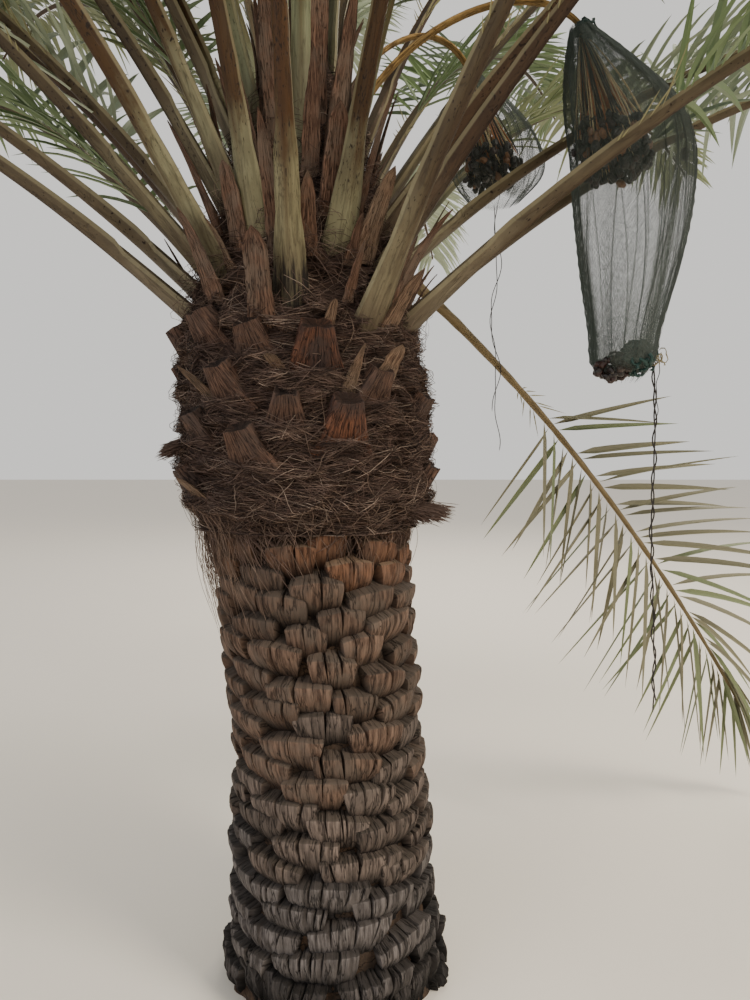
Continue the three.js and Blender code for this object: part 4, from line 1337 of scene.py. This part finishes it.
# %% Spines
LEAF_ROUGHNESS = 0.46  # a waxy sheen
SPINES = 5
SPINE_PLACES = (0.84, 0.96)  # shares of the stalk's length
SPINE_LENGTHS = (0.03, 0.13)
SPINE_RADIUS = 0.0028
spine_heap = Heap()
spine_rng = np.random.default_rng(91)
t = np.linspace(0, 1, 5)
for frond in FRONDS:
    s = np.linspace(*SPINE_PLACES, SPINES) * STALK_LENGTH * spine_rng.uniform(0.98, 1.02, SPINES)
    at, run, side, face, thin = frond_line(frond, s)
    for hand in (-1, 1):
        angle = np.radians(spine_rng.uniform(28, 48, SPINES))[:, None]
        aside = hand * side * 0.8 + face * spine_rng.uniform(0, 0.9, (SPINES, 1))
        way = run * np.cos(angle) + aside * np.sin(angle)
        foot = at + hand * side * (along(RIB_SIZES, s) * thin * 0.45)[:, None]
        reach = mix(*SPINE_LENGTHS, (s - s[0]) / np.ptp(s)) * spine_rng.uniform(0.7, 1.2, SPINES)
        paths = foot[:, None] + way[:, None] * reach[:, None, None] * t[None, :, None]
        spine_heap.add(*tubes(paths, SPINE_RADIUS * (1 - 0.8 * t)[None], corners=5))
spine_heap.piece("spines", "frond_leaf", plain_paint("spine_tan", 0x857F58, LEAF_ROUGHNESS))

# %% [markdown]
# A leaflet is a stiff blade folded along its middle, up to 45 cm long and about 27 mm wide. Its
# foot stands on the rib's margin. Its tip lies forward at the spread angle, which is wide at the
# start of the blade and narrow at its end, and is raised over the rib's plane by the rise angle.
# The rule is the frame's; only there are more of them here, and they come in threes that point
# in three planes, as on every date palm. The section is a thin V of four corners, so a blade is
# closed and shows both its sides. The fronds are dealt four plain tints, one after the other.

# %% Leaflets
LEAFLET_LENGTH = 0.43
SPREAD = (60, 26)
RISE = (30, 14)
LENGTH_SHARES = (0.45, 1.0)
WAVE_SPAN = (0.12, 0.92)
LEAFLET_WIDTH = 0.027
LEAFLET_SPACING = 0.023
PLANES = np.array([-1.0, 0.9, 0.1])  # the three of a group, as a share of the fan
FAN = (24, 9)
FOLD = 0.5
DROOPS = (0.08, 0.34)  # of the young upright fronds and the old leaning ones
LEAF_THICK = 0.0011
UNEVEN = {"spread": 4, "rise": 3.5, "roll": 16}  # the usual chance difference, in degrees
NARROWEST = 0.62  # the width of the shortest, as a share of the longest's
LEAF_ROWS = 8
LEAF_TINTS = {
    "grey_green": 0x7A8870,
    "green": 0x62754D,
    "pale": 0x98A38A,
    "olive": 0x6F7853,
    "dry": 0x77735A,
}
FRESH_TINTS = ["grey_green", "pale", "green", "olive"]


def blades(paths, looks, widths):
    """Closed folded blades along paths, n by m by 3. looks is the way each upper side faces. A
    ring has the two edges, raised by the fold, and the fold's under and upper side."""
    n, m, _ = paths.shape
    run = unit(np.gradient(paths, axis=1))
    across = unit(np.cross(run, looks[:, None]))
    up = np.cross(across, run)
    w = (widths / 2)[:, 1:-1, None]
    middle, across, up = paths[:, 1:-1], across[:, 1:-1], up[:, 1:-1]
    edge = up * w * FOLD
    corners = [middle + across * w + edge, middle - up * LEAF_THICK]
    corners += [middle - across * w + edge, middle + up * LEAF_THICK * 0.3]
    rings = np.stack(corners, 2).reshape(n, -1, 3)
    points = np.concatenate([paths[:, :1], rings, paths[:, -1:]], 1)
    return points, tube_faces(n, m - 2, 4), points


def leaflet_paths(foot, way, reach, droop):
    """Paths from the feet: straight on by the reach, and down by a share of it times the square
    of the way along."""
    t = np.linspace(0, 1, LEAF_ROWS)[None, :, None]
    reach, droop = reach[:, None, None], np.broadcast_to(droop, len(foot))[:, None, None]
    return foot[:, None] + way[:, None] * reach * t - UP * reach * droop * t**2


def leaflet_widths(most, share):
    """The width along a blade: it widens quickly from its foot and narrows to a long point."""
    t = np.linspace(0, 1, LEAF_ROWS)[None]
    return most * share[:, None] * np.minimum(1, (t / 0.16) ** 0.6) * (1 - t**2.4) ** 0.9


def feather(frond, rng):
    """All the leaflets of a frond, both sides at once."""
    blade = frond["length"] - frond["bare"]
    count = int(blade / LEAFLET_SPACING)
    k = np.arange(count)
    bunched = (k % 3 - 1) * -0.32 * LEAFLET_SPACING
    s = frond["bare"] + LEAFLET_SPACING * (k + 0.5) + bunched
    u = (s - frond["bare"]) / blade
    droop = mix(*DROOPS, np.clip((frond["lean"] - 10) / 40, 0, 1))
    at, run, side, face, thin = frond_line(frond, s)
    made = []
    for hand in (-1, 1):
        wave = np.sin(np.pi * mix(*WAVE_SPAN, u))
        reach = LEAFLET_LENGTH * mix(*LENGTH_SHARES, wave) * rng.uniform(0.9, 1.06, count)
        spread = np.radians(mix(*SPREAD, u) + rng.normal(0, UNEVEN["spread"], count))[:, None]
        plane = PLANES[(k + (hand > 0)) % 3] * mix(*FAN, u)
        rise = np.radians(mix(*RISE, u) + plane + rng.normal(0, UNEVEN["rise"], count))[:, None]
        outward = hand * side * np.cos(rise) + face * np.sin(rise)
        way = run * np.cos(spread) + outward * np.sin(spread)
        half = (along(RIB_SIZES, s) * thin / 2)[:, None]
        foot = at + hand * side * half * 0.7 + face * half * 0.2
        looks = face * np.cos(rise) - hand * side * np.sin(rise)
        roll = np.radians(rng.normal(0, UNEVEN["roll"], count))[:, None]
        looks = looks * np.cos(roll) + np.cross(way, looks) * np.sin(roll)
        paths = leaflet_paths(foot, way, reach, droop * rng.uniform(0.5, 1.5, count))
        share = mix(NARROWEST, 1, wave) * rng.uniform(0.85, 1.1, count)
        widths = leaflet_widths(LEAFLET_WIDTH, share)
        made.append((paths, looks, widths))
    return [np.concatenate(rows) for rows in zip(*made)]


leaf_rng = np.random.default_rng(81)
leaf_heaps = {key: Heap() for key in LEAF_TINTS}
leaf_nodes = {key: [] for key in LEAF_TINTS}
for i, frond in enumerate(FRONDS):
    if frond["name"] != "frond_hanging":
        tint = FRESH_TINTS[i % len(FRESH_TINTS)]
        leaf_heaps[tint].add(*blades(*feather(frond, leaf_rng)))
        leaf_nodes[tint].append(frond["name"])
print({tint: len(nodes) for tint, nodes in leaf_nodes.items()}, "fronds of each tint")

# %% [markdown]
# The hanging frond is the oldest and half dry, on a thin straw-coloured rib. On its lower side
# the leaflets have gone limp in pairs: one hangs straight down and the next still slants, so they
# cross. On its upper side a few stand out nearly level, in small groups, and those near the tip
# fold over and hang.

# %% The hanging frond
LIMP_SPACING = 0.028
LIMP_WIDTH = 0.024
LIMP_LENGTH = 0.48
LIMP_ANGLES = (-92.0, -127.0)  # of the pairs on the lower side, from level to the right
UPPER_ANGLE, UPPER_WAVE, UPPER_FOLD = 4, 9, 75  # of those on the upper side
UPPER_SHARE = 0.92  # of those in a group that have stayed on
LIMP_DROOPS = (0.03, 0.45)  # at the stalk and at the tip
LIMP_FOOT = 0.008  # how far the feet stand from the middle of the rib
ABOVE_GROUND = 0.03
LOW_FEET, GREEN_SHARES = 1.05, (0.5, 0.12)  # how many are still green, under that height and over


def limp_feather(frond, rng):
    """Leaflets whose ways are given in the frame: x to the right and z up, with a little of y."""
    blade = frond["length"] - STALK_LENGTH
    count = int(blade / LIMP_SPACING)
    k = np.arange(count)
    s = STALK_LENGTH + LIMP_SPACING * (k + 0.5)
    u = (s - STALK_LENGTH) / blade
    at, run, side, _, _ = frond_line(frond, s)
    made = []
    for left in (True, False):
        if left:
            kept = np.full(count, True)
            angle = np.where(k % 2 == 0, *LIMP_ANGLES) + rng.normal(0, 4, count)
            droop = np.full(count, LIMP_DROOPS[0])
        else:
            kept = (k % 5 < 3) & (rng.uniform(0, 1, count) < UPPER_SHARE)
            folded = UPPER_FOLD * np.clip((u - 0.5) / 0.5, 0, 1)
            angle = UPPER_ANGLE + UPPER_WAVE * np.sin(k * 1.3) + rng.normal(0, 5, count) - folded
            droop = mix(*LIMP_DROOPS, u**2)
        a = np.radians(angle)
        way = np.stack([np.cos(a), rng.normal(0, 0.16, count), np.sin(a)], -1)
        forward = np.clip((u - 0.45) / 0.55, 0, 1)[:, None] ** 1.5 * 0.8
        way = unit(way * (1 - forward) + run * forward)
        reach = LIMP_LENGTH * mix(0.62, 1, np.sin(np.pi * mix(0.2, 0.85, u)))
        reach = reach * rng.uniform(0.85, 1.05, count)
        fall = droop + np.maximum(-way[:, 2], 0.01)
        reach = np.minimum(reach, (at[:, 2] - ABOVE_GROUND) / fall)
        looks = np.cross(way, np.stack([rng.normal(0, 0.5, count), np.ones(count), 0 * a], -1))
        turned = np.radians(rng.uniform(20, 75, count))[:, None]
        looks = unit(looks) * np.cos(turned) - np.array([0, 1.0, 0]) * np.sin(turned)
        foot = at + side * (-LIMP_FOOT if left == (side[0, 0] > 0) else LIMP_FOOT)
        paths = leaflet_paths(foot, way, reach, droop)
        widths = leaflet_widths(LIMP_WIDTH, rng.uniform(0.75, 1.05, count))
        made.append((paths[kept], looks[kept], widths[kept]))
    return [np.concatenate(rows) for rows in zip(*made)]


hanging = next(f for f in FRONDS if f["name"] == "frond_hanging")
limp_paths, limp_looks, limp_widths = limp_feather(hanging, leaf_rng)
low = limp_paths[:, 0, 2] < LOW_FEET
still_green = leaf_rng.uniform(0, 1, len(limp_paths)) < np.where(low, *GREEN_SHARES)
for tint, chosen in (("dry", ~still_green), ("olive", still_green)):
    leaf_heaps[tint].add(*blades(limp_paths[chosen], limp_looks[chosen], limp_widths[chosen]))
leaf_nodes["dry"].append("frond_hanging")
for tint, heap in leaf_heaps.items():
    material = plain_paint(f"leaf_{tint}", LEAF_TINTS[tint], LEAF_ROUGHNESS)
    heap.piece(f"leaflets_{tint}", "frond_leaf", material, stands_for=leaf_nodes[tint])

# %% [markdown]
# Two bunches of dates hang out of the head, each on a flat yellow stalk that rises among the
# fronds and bows over. The stalk's line is a cubic curve with four control points: its foot, a
# point above it, a point high over the knot and the knot. The block that made the stubs is
# carried along it, rounder and without a cut.

# %% Stalks of the bunches
BUNCHES = {
    "large": {
        "foot": (-2, 2.16),
        "knot": np.array([0.635, 0.0, 2.503]),
        "rings": [  # drop, radius, shift to the right
            (0, 0.024, 0),
            (0.105, 0.088, 0.055),
            (0.215, 0.14, 0.11),
            (0.32, 0.154, 0.138),
            (0.43, 0.15, 0.142),
            (0.62, 0.122, 0.138),
            (0.79, 0.086, 0.13),
            (0.86, 0.076, 0.128),
            (0.912, 0.034, 0.127),
        ],
        "threads": 420,
        "tied": 0.885,
        "folds": 26,
        "mass": ((0.088, 0, -0.305), (0.1, 0.1, 0.095)),
        "dates": 300,
        "strands": 110,
    },
    "small": {
        "foot": (36, 2.215),
        "knot": np.array([0.391, 0.3, 2.528]),
        "rings": [
            (0, 0.022, 0),
            (0.09, 0.074, 0.04),
            (0.2, 0.122, 0.078),
            (0.3, 0.128, 0.082),
            (0.38, 0.066, 0.074),
        ],
        "threads": 230,
        "tied": 0.377,
        "folds": 12,
        "mass": ((0.072, 0, -0.275), (0.085, 0.085, 0.075)),
        "dates": 170,
        "strands": 70,
    },
}
STALK = {
    "width": 0.044,
    "thick": 0.02,
    "share": 0.85,  # of the width and the thickness of the frame's stalk
    "taper": 0.45,  # how much narrower it is at the knot
    "inset": 0.7,  # where it starts, as a share of the trunk's radius
    "out": 0.06,
    "rise": 0.3,
    "over": 0.33,
}
STALK_ROWS = 26


def bunch_stalk(bunch, seed):
    """The stalk: (1-t)^3 a + 3(1-t)^2 t b + 3(1-t) t^2 c + t^3 d, as wide as its taper says."""
    turn, height = bunch["foot"]
    out = out_at(turn)
    foot = round_trunk(turn, height, along(FIBRE_RADII, height) * STALK["inset"])
    knot = bunch["knot"]
    rise = foot + out * STALK["out"] + UP * STALK["rise"]
    bow = mix(knot + UP * STALK["over"], foot, 0.25)
    t = np.linspace(0, 1, STALK_ROWS)[:, None]
    path = (1 - t) ** 3 * foot + 3 * (1 - t) ** 2 * t * rise + 3 * (1 - t) * t**2 * bow + t**3 * knot
    run = unit(np.gradient(path, axis=0))
    side = unit(np.stack([run[:, 1], -run[:, 0], 0 * run[:, 0]], -1))
    taper = 1 - STALK["taper"] * t[:, 0]
    wide = STALK["width"] * STALK["share"] * taper
    thick = STALK["thick"] * STALK["share"] * taper
    rows = t[:, 0] * 0.9
    points, faces, grain, _ = flat_block(path, run, side, rows, wide, thick, seed, round_off=0.8)
    return points, faces, grain, 0.7


STALK_WOOD = wood("bunch_stalk", 0xBC9A60, 0x94764A, 0x867650, 0x4A3620, 0x94764A, scale=90.0, amount=0.4)
for i, (key, bunch) in enumerate(BUNCHES.items()):
    heap = Heap().add(*bunch_stalk(bunch, 3.0 + i))
    heap.piece(f"stalk_{key}", "bunch_stalk", STALK_WOOD, stands_for=[f"bunch_{key}_stalk"])

# %% [markdown]
# Each bunch is tied up in a fine net against birds. The net is a bag of two families of thin
# threads that wind round it in opposite ways, so they cross in small diamonds. It hangs in uneven
# folds, each of them some threads that lie close together, and in front on the right it lies
# double. The threads of the folds and of the double layer are a darker green than the net, as
# painted shade in the folds.

# %% Nets
NET_ROWS = 28
NET_TWIST = 4.4  # in radians, for each metre down
NET_RADIUS, FOLD_RADIUS = 0.00024, 0.00034
FOLD_THREADS = 5
FOLD_STARTS = (0.03, 0.3)  # how far down the folds start
FOLD_SPREAD = 0.013  # how far their threads spread, in radians
DENSE = {"threads": 44, "first": 0.06, "angles": (-1.4, -0.85), "turn": 0.25}  # where it lies double
DOUBLE_INSIDE = 0.985  # the size of that layer as a share of the bag's
FOLD_DEPTH = 0.03


def on_net(bunch, angle, drop, swell=1.0):
    """A point of the bag: its ring's middle plus the radius, which three waves of the angle make
    larger and smaller."""
    rings = bunch["rings"]
    radius = smooth_along(rings, drop) * swell
    shift = smooth_along(rings, drop, 2)
    waves = np.sin(5 * angle + 6 * drop) + np.sin(9 * angle + 1) + 0.7 * np.sin(16 * angle - 9 * drop)
    radius = radius * (1 + FOLD_DEPTH * waves)
    place = [radius * np.cos(angle) + shift, radius * np.sin(angle), -drop + 0 * angle]
    return bunch["knot"] + np.stack(place, -1)


def net_threads(bunch, rng):
    """Both families of threads."""
    drop = np.linspace(0.003, bunch["tied"], NET_ROWS)[None]
    start = np.linspace(0, 2 * np.pi, bunch["threads"], endpoint=False)[:, None]
    families = []
    for way in (-1, 1):
        angle = start + way * NET_TWIST * drop + rng.normal(0, 0.003, start.shape)
        families.append(on_net(bunch, angle, drop))
    return np.concatenate(families)


def net_folds(bunch, rng):
    """Bundles of threads that run down the bag. A bundle's threads spread a little from the knot
    to its middle, wander together, and draw in again at the tie."""
    first, last = rng.uniform(*FOLD_STARTS, (bunch["folds"], 1)), bunch["rings"][-1][0] - 0.005
    drop = first + (last - first) * np.linspace(0, 1, NET_ROWS)
    angle = rng.uniform(0, 2 * np.pi, first.shape) + rng.uniform(-0.5, 0.5, first.shape) * drop
    angle = angle + 0.07 * np.sin(7 * drop + rng.uniform(0, 6, first.shape))
    drop, angle = np.repeat(drop, FOLD_THREADS, 0), np.repeat(angle, FOLD_THREADS, 0)
    apart = rng.normal(0, FOLD_SPREAD, (len(drop), 1)) * np.sin(np.linspace(0, 2.6, NET_ROWS) + 0.3)
    return on_net(bunch, angle + apart, drop, 1.005)


NET_GREEN = plain_paint("net_green", 0x454E48)
net_rng = np.random.default_rng(101)
fold_heap = Heap()
for key, bunch in BUNCHES.items():
    heap = Heap().add(*tubes(net_threads(bunch, net_rng), NET_RADIUS))
    heap.piece(f"net_{key}", "bunch_net", NET_GREEN, stands_for=[f"bunch_{key}"])
    fold_heap.add(*tubes(net_folds(bunch, net_rng), FOLD_RADIUS))
    drop = np.linspace(DENSE["first"], bunch["tied"], NET_ROWS)[None]
    dense = net_rng.uniform(*DENSE["angles"], (DENSE["threads"], 1)) + DENSE["turn"] * drop
    fold_heap.add(*tubes(on_net(bunch, dense, drop, DOUBLE_INSIDE), NET_RADIUS))
# painted shade in the folds: their threads are a darker green than the net's
fold_heap.piece("net_folds", "bunch_net", plain_paint("net_fold", 0x333B35))

# %% [markdown]
# Inside, the bunch is a broom of straight strands that spread from the knot. They carry the
# dates, most of them shrivelled and nearly black. A date is a tube too: its radius goes with the
# square root of 1 - x^2 along a short path, with some wrinkles. One large red date lies against
# the large net on its right side.

# %% Strands and dates
POD_ROWS = 9
STRAND_ROWS = 9
DATE_LENGTHS, DATE_SHARES = (0.026, 0.036), (0.5, 0.68)  # its width is a share of its length
FRUIT_STRAND_RADII = (0.0012, 0.0024)
EDGE_DATE = [[0.0], [0.32], 0.86, [0.036], [0.025]]  # angle, drop, swell, length, width
DATES = {"black": (0x1B1311, 0.72), "red": (0x2B1511, 0.16), "dried": (0x7A5334, 0.12)}  # with shares
FRUIT_STRANDS = {"cream": (0xCDB98C, 0.6), "orange": (0xAE7142, 0.45), "brown": (0x33231A, 0.7)}


def pods(centres, ways, lengths, widths, rng):
    """Dates at the centres, each along its own way."""
    x = np.linspace(-1, 1, POD_ROWS)[None]
    paths = centres[:, None] + ways[:, None] * (x * lengths[:, None] / 2)[..., None]
    wrinkles = 1 + 0.12 * np.sin(x * 6 + rng.uniform(0, 6, (len(centres), 1)))
    radii = widths[:, None] / 2 * np.sqrt(np.clip(1 - x**2, 0, 1)) * wrinkles
    return tubes(paths, radii, corners=7)


def scattered(rng, count, middle, radii):
    """Points inside an egg: random ways times the cube root of a random share of the radii."""
    ways = unit(rng.normal(size=(count, 3)))
    return middle + ways * np.cbrt(rng.uniform(0, 1, (count, 1))) * np.array(radii)


def date_places(bunch, rng, count):
    """Places in the egg of dates, which hangs under the knot."""
    middle, radii = bunch["mass"]
    return scattered(rng, count, bunch["knot"] + middle, radii)


date_rng = np.random.default_rng(111)
date_heaps = {key: Heap() for key in DATES}
strand_heaps = {key: Heap() for key in FRUIT_STRANDS}
t = np.linspace(0, 1, STRAND_ROWS)[None, :, None]
for bunch in BUNCHES.values():
    for key, (_, share) in DATES.items():
        count = round(bunch["dates"] * share)
        centres = date_places(bunch, date_rng, count)
        ways = unit(date_rng.normal(size=(count, 3)) * 0.6 - UP)
        lengths = date_rng.uniform(*DATE_LENGTHS, count)
        widths = lengths * date_rng.uniform(*DATE_SHARES, count)
        date_heaps[key].add(*pods(centres, ways, lengths, widths, date_rng))
    for key, (_, share) in FRUIT_STRANDS.items():
        count = round(bunch["strands"] * share)
        ends = date_places(bunch, date_rng, count)
        knot = bunch["knot"] - UP * 0.01
        bow = date_rng.normal(0, 0.008, (count, 1, 3)) * np.sin(np.pi * t)
        paths = knot + (ends[:, None] - knot) * t + bow - UP * 0.02 * t * (1 - t)
        radii = date_rng.uniform(*FRUIT_STRAND_RADII, (count, 1))
        strand_heaps[key].add(*tubes(paths, radii, corners=4))
angle, drop, swell, *size = (np.array(value) for value in EDGE_DATE)
edge = on_net(BUNCHES["large"], angle, drop, swell)
date_heaps["red"].add(*pods(edge, -UP[None], *size, date_rng))
print(sum(bunch["dates"] for bunch in BUNCHES.values()), "dates in the bunches")

# %% [markdown]
# The bottom of the large net has been gathered up and tied. Dates that fell off lie in the
# gather on the left, and on the right the spare net is knotted into a dark green ruffle, which is
# loops of thick soft tube. Smaller ruffles tie both nets to their stalks, with pale ends of cord.

# %% Gathered net and ties
LOOP_POINTS = 14
FALLEN, FALLEN_WIDTH = 74, 0.66  # how many dates, and their width as a share of the length
FALLEN_LENGTHS = (0.022, 0.034)
large_knot, small_knot = (bunch["knot"] for bunch in BUNCHES.values())
gather = large_knot + (0.128, 0, -0.855)
FALLEN_PLACE = (gather + (-0.03, -0.01, -0.012), (0.05, 0.05, 0.036))  # its middle and radii
RUFFLES = [  # middle, radii of the place, count, size, thickness
    (gather + (0.026, -0.03, 0.008), (0.044, 0.044, 0.038), 90, 0.014, 0.0042),
    (large_knot + (0.012, 0, -0.012), (0.022, 0.022, 0.02), 34, 0.013, 0.003),
    (small_knot + (0.006, 0, -0.012), (0.018, 0.018, 0.018), 26, 0.011, 0.0028),
]
TIES = [
    (gather + (0.094, 0, 0.012), (0.012, 0.01, 0.012), 7, 0.015, 0.0017),
    (small_knot + (0, 0, 0.006), (0.004, 0.004, 0.004), 6, 0.014, 0.003),
]


def loops(rng, middle, radii, count, size, thick):
    """Bent loops around a place: each is most of a circle in a random plane, with a wave."""
    centres = scattered(rng, count, middle, radii)
    first = unit(rng.normal(size=(count, 3)))
    second = unit(np.cross(first, rng.normal(size=(count, 3))))
    third = np.cross(first, second)
    a = np.linspace(0, 5.4, LOOP_POINTS)[None]
    r = size * rng.uniform(0.6, 1.2, (count, 1)) * (1 + 0.25 * np.sin(3 * a))
    paths = centres[:, None] + first[:, None] * (r * np.cos(a))[..., None]
    paths = paths + second[:, None] * (r * np.sin(a))[..., None]
    paths = paths + third[:, None] * (0.3 * size * np.sin(2 * a))[..., None]
    radii = thick * rng.uniform(0.7, 1.3, (count, 1)) * (1 + 0.25 * np.sin(4 * a))
    return tubes(paths, radii, corners=6)


fallen = scattered(date_rng, FALLEN, *FALLEN_PLACE)
ways = unit(date_rng.normal(size=(FALLEN, 3)))
lengths = date_rng.uniform(*FALLEN_LENGTHS, FALLEN)
for key, some in (("black", slice(0, None, 2)), ("red", slice(1, None, 2))):
    long = lengths[some]
    date_heaps[key].add(*pods(fallen[some], ways[some], long, long * FALLEN_WIDTH, date_rng))
ruffle_heap, tie_heap = Heap(), Heap()
for row in RUFFLES:
    ruffle_heap.add(*loops(date_rng, *row))
for row in TIES:
    tie_heap.add(*loops(date_rng, *row))
ruffle_heap.piece("net_ruffles", "bunch_net", plain_paint("net_teal", 0x10332D, 0.55))
tie_heap.piece("net_ties", "bunch_net", plain_paint("tie_cream", 0x8F8464))
for key, (code, _) in DATES.items():
    date_heaps[key].piece(f"dates_{key}", "bunch_net", plain_paint(f"date_{key}", code, 0.42))
for key, (code, _) in FRUIT_STRANDS.items():
    name = f"fruit_strands_{key}"
    strand_heaps[key].piece(name, "bunch_stalk", plain_paint(f"fruit_strand_{key}", code))

# %% [markdown]
# The ends of the strings that tie the nets hang down: two dark ones twisted about each other with
# a short loose end under the large bunch, and two thinner ones, wide apart, under the small one.

# %% Strings
tie_end = gather + (0.082, 0, 0.006)
loose_end = tie_end + (0.014, 0, 0)
small_end = small_knot + (0.078, 0, -0.376)
STRING_WAVE = 0.004
STRINGS = [  # start, fall, drift, turns, distance apart, phase, points, radius
    (tie_end, 0.92, 0.022, 9, 0.006, 0.0, 90, 0.0021),
    (tie_end, 0.95, 0.022, 9, 0.006, 3.1, 90, 0.0021),
    (loose_end, 0.16, -0.004, 1.2, 0.006, 1.0, 30, 0.0012),
    (small_end, 0.74, 0.01, 3, 0.012, 0.5, 60, 0.0013),
    (small_end, 0.62, 0.0, 2, 0.02, 2.5, 50, 0.0013),
]


def twisted(start, fall, drift, turns, apart, phase, count):
    """A string that falls from its start and drifts to the right while it winds round a line.
    Its distance from the line swells and shrinks twice."""
    t = np.linspace(0, 1, count)
    a = 2 * np.pi * turns * t + phase
    r = apart * (0.55 + 0.45 * np.cos(4 * np.pi * t + phase))
    place = [r * np.cos(a) + drift * t + STRING_WAVE * np.sin(9 * t), r * np.sin(a), -fall * t]
    return (start + np.stack(place, -1))[None]


string_heap = Heap()
for *string, radius in STRINGS:
    string_heap.add(*tubes(twisted(*string), radius, corners=5))
string_heap.piece("net_strings", "bunch_net", plain_paint("string_black", 0x241E1B, 0.7))
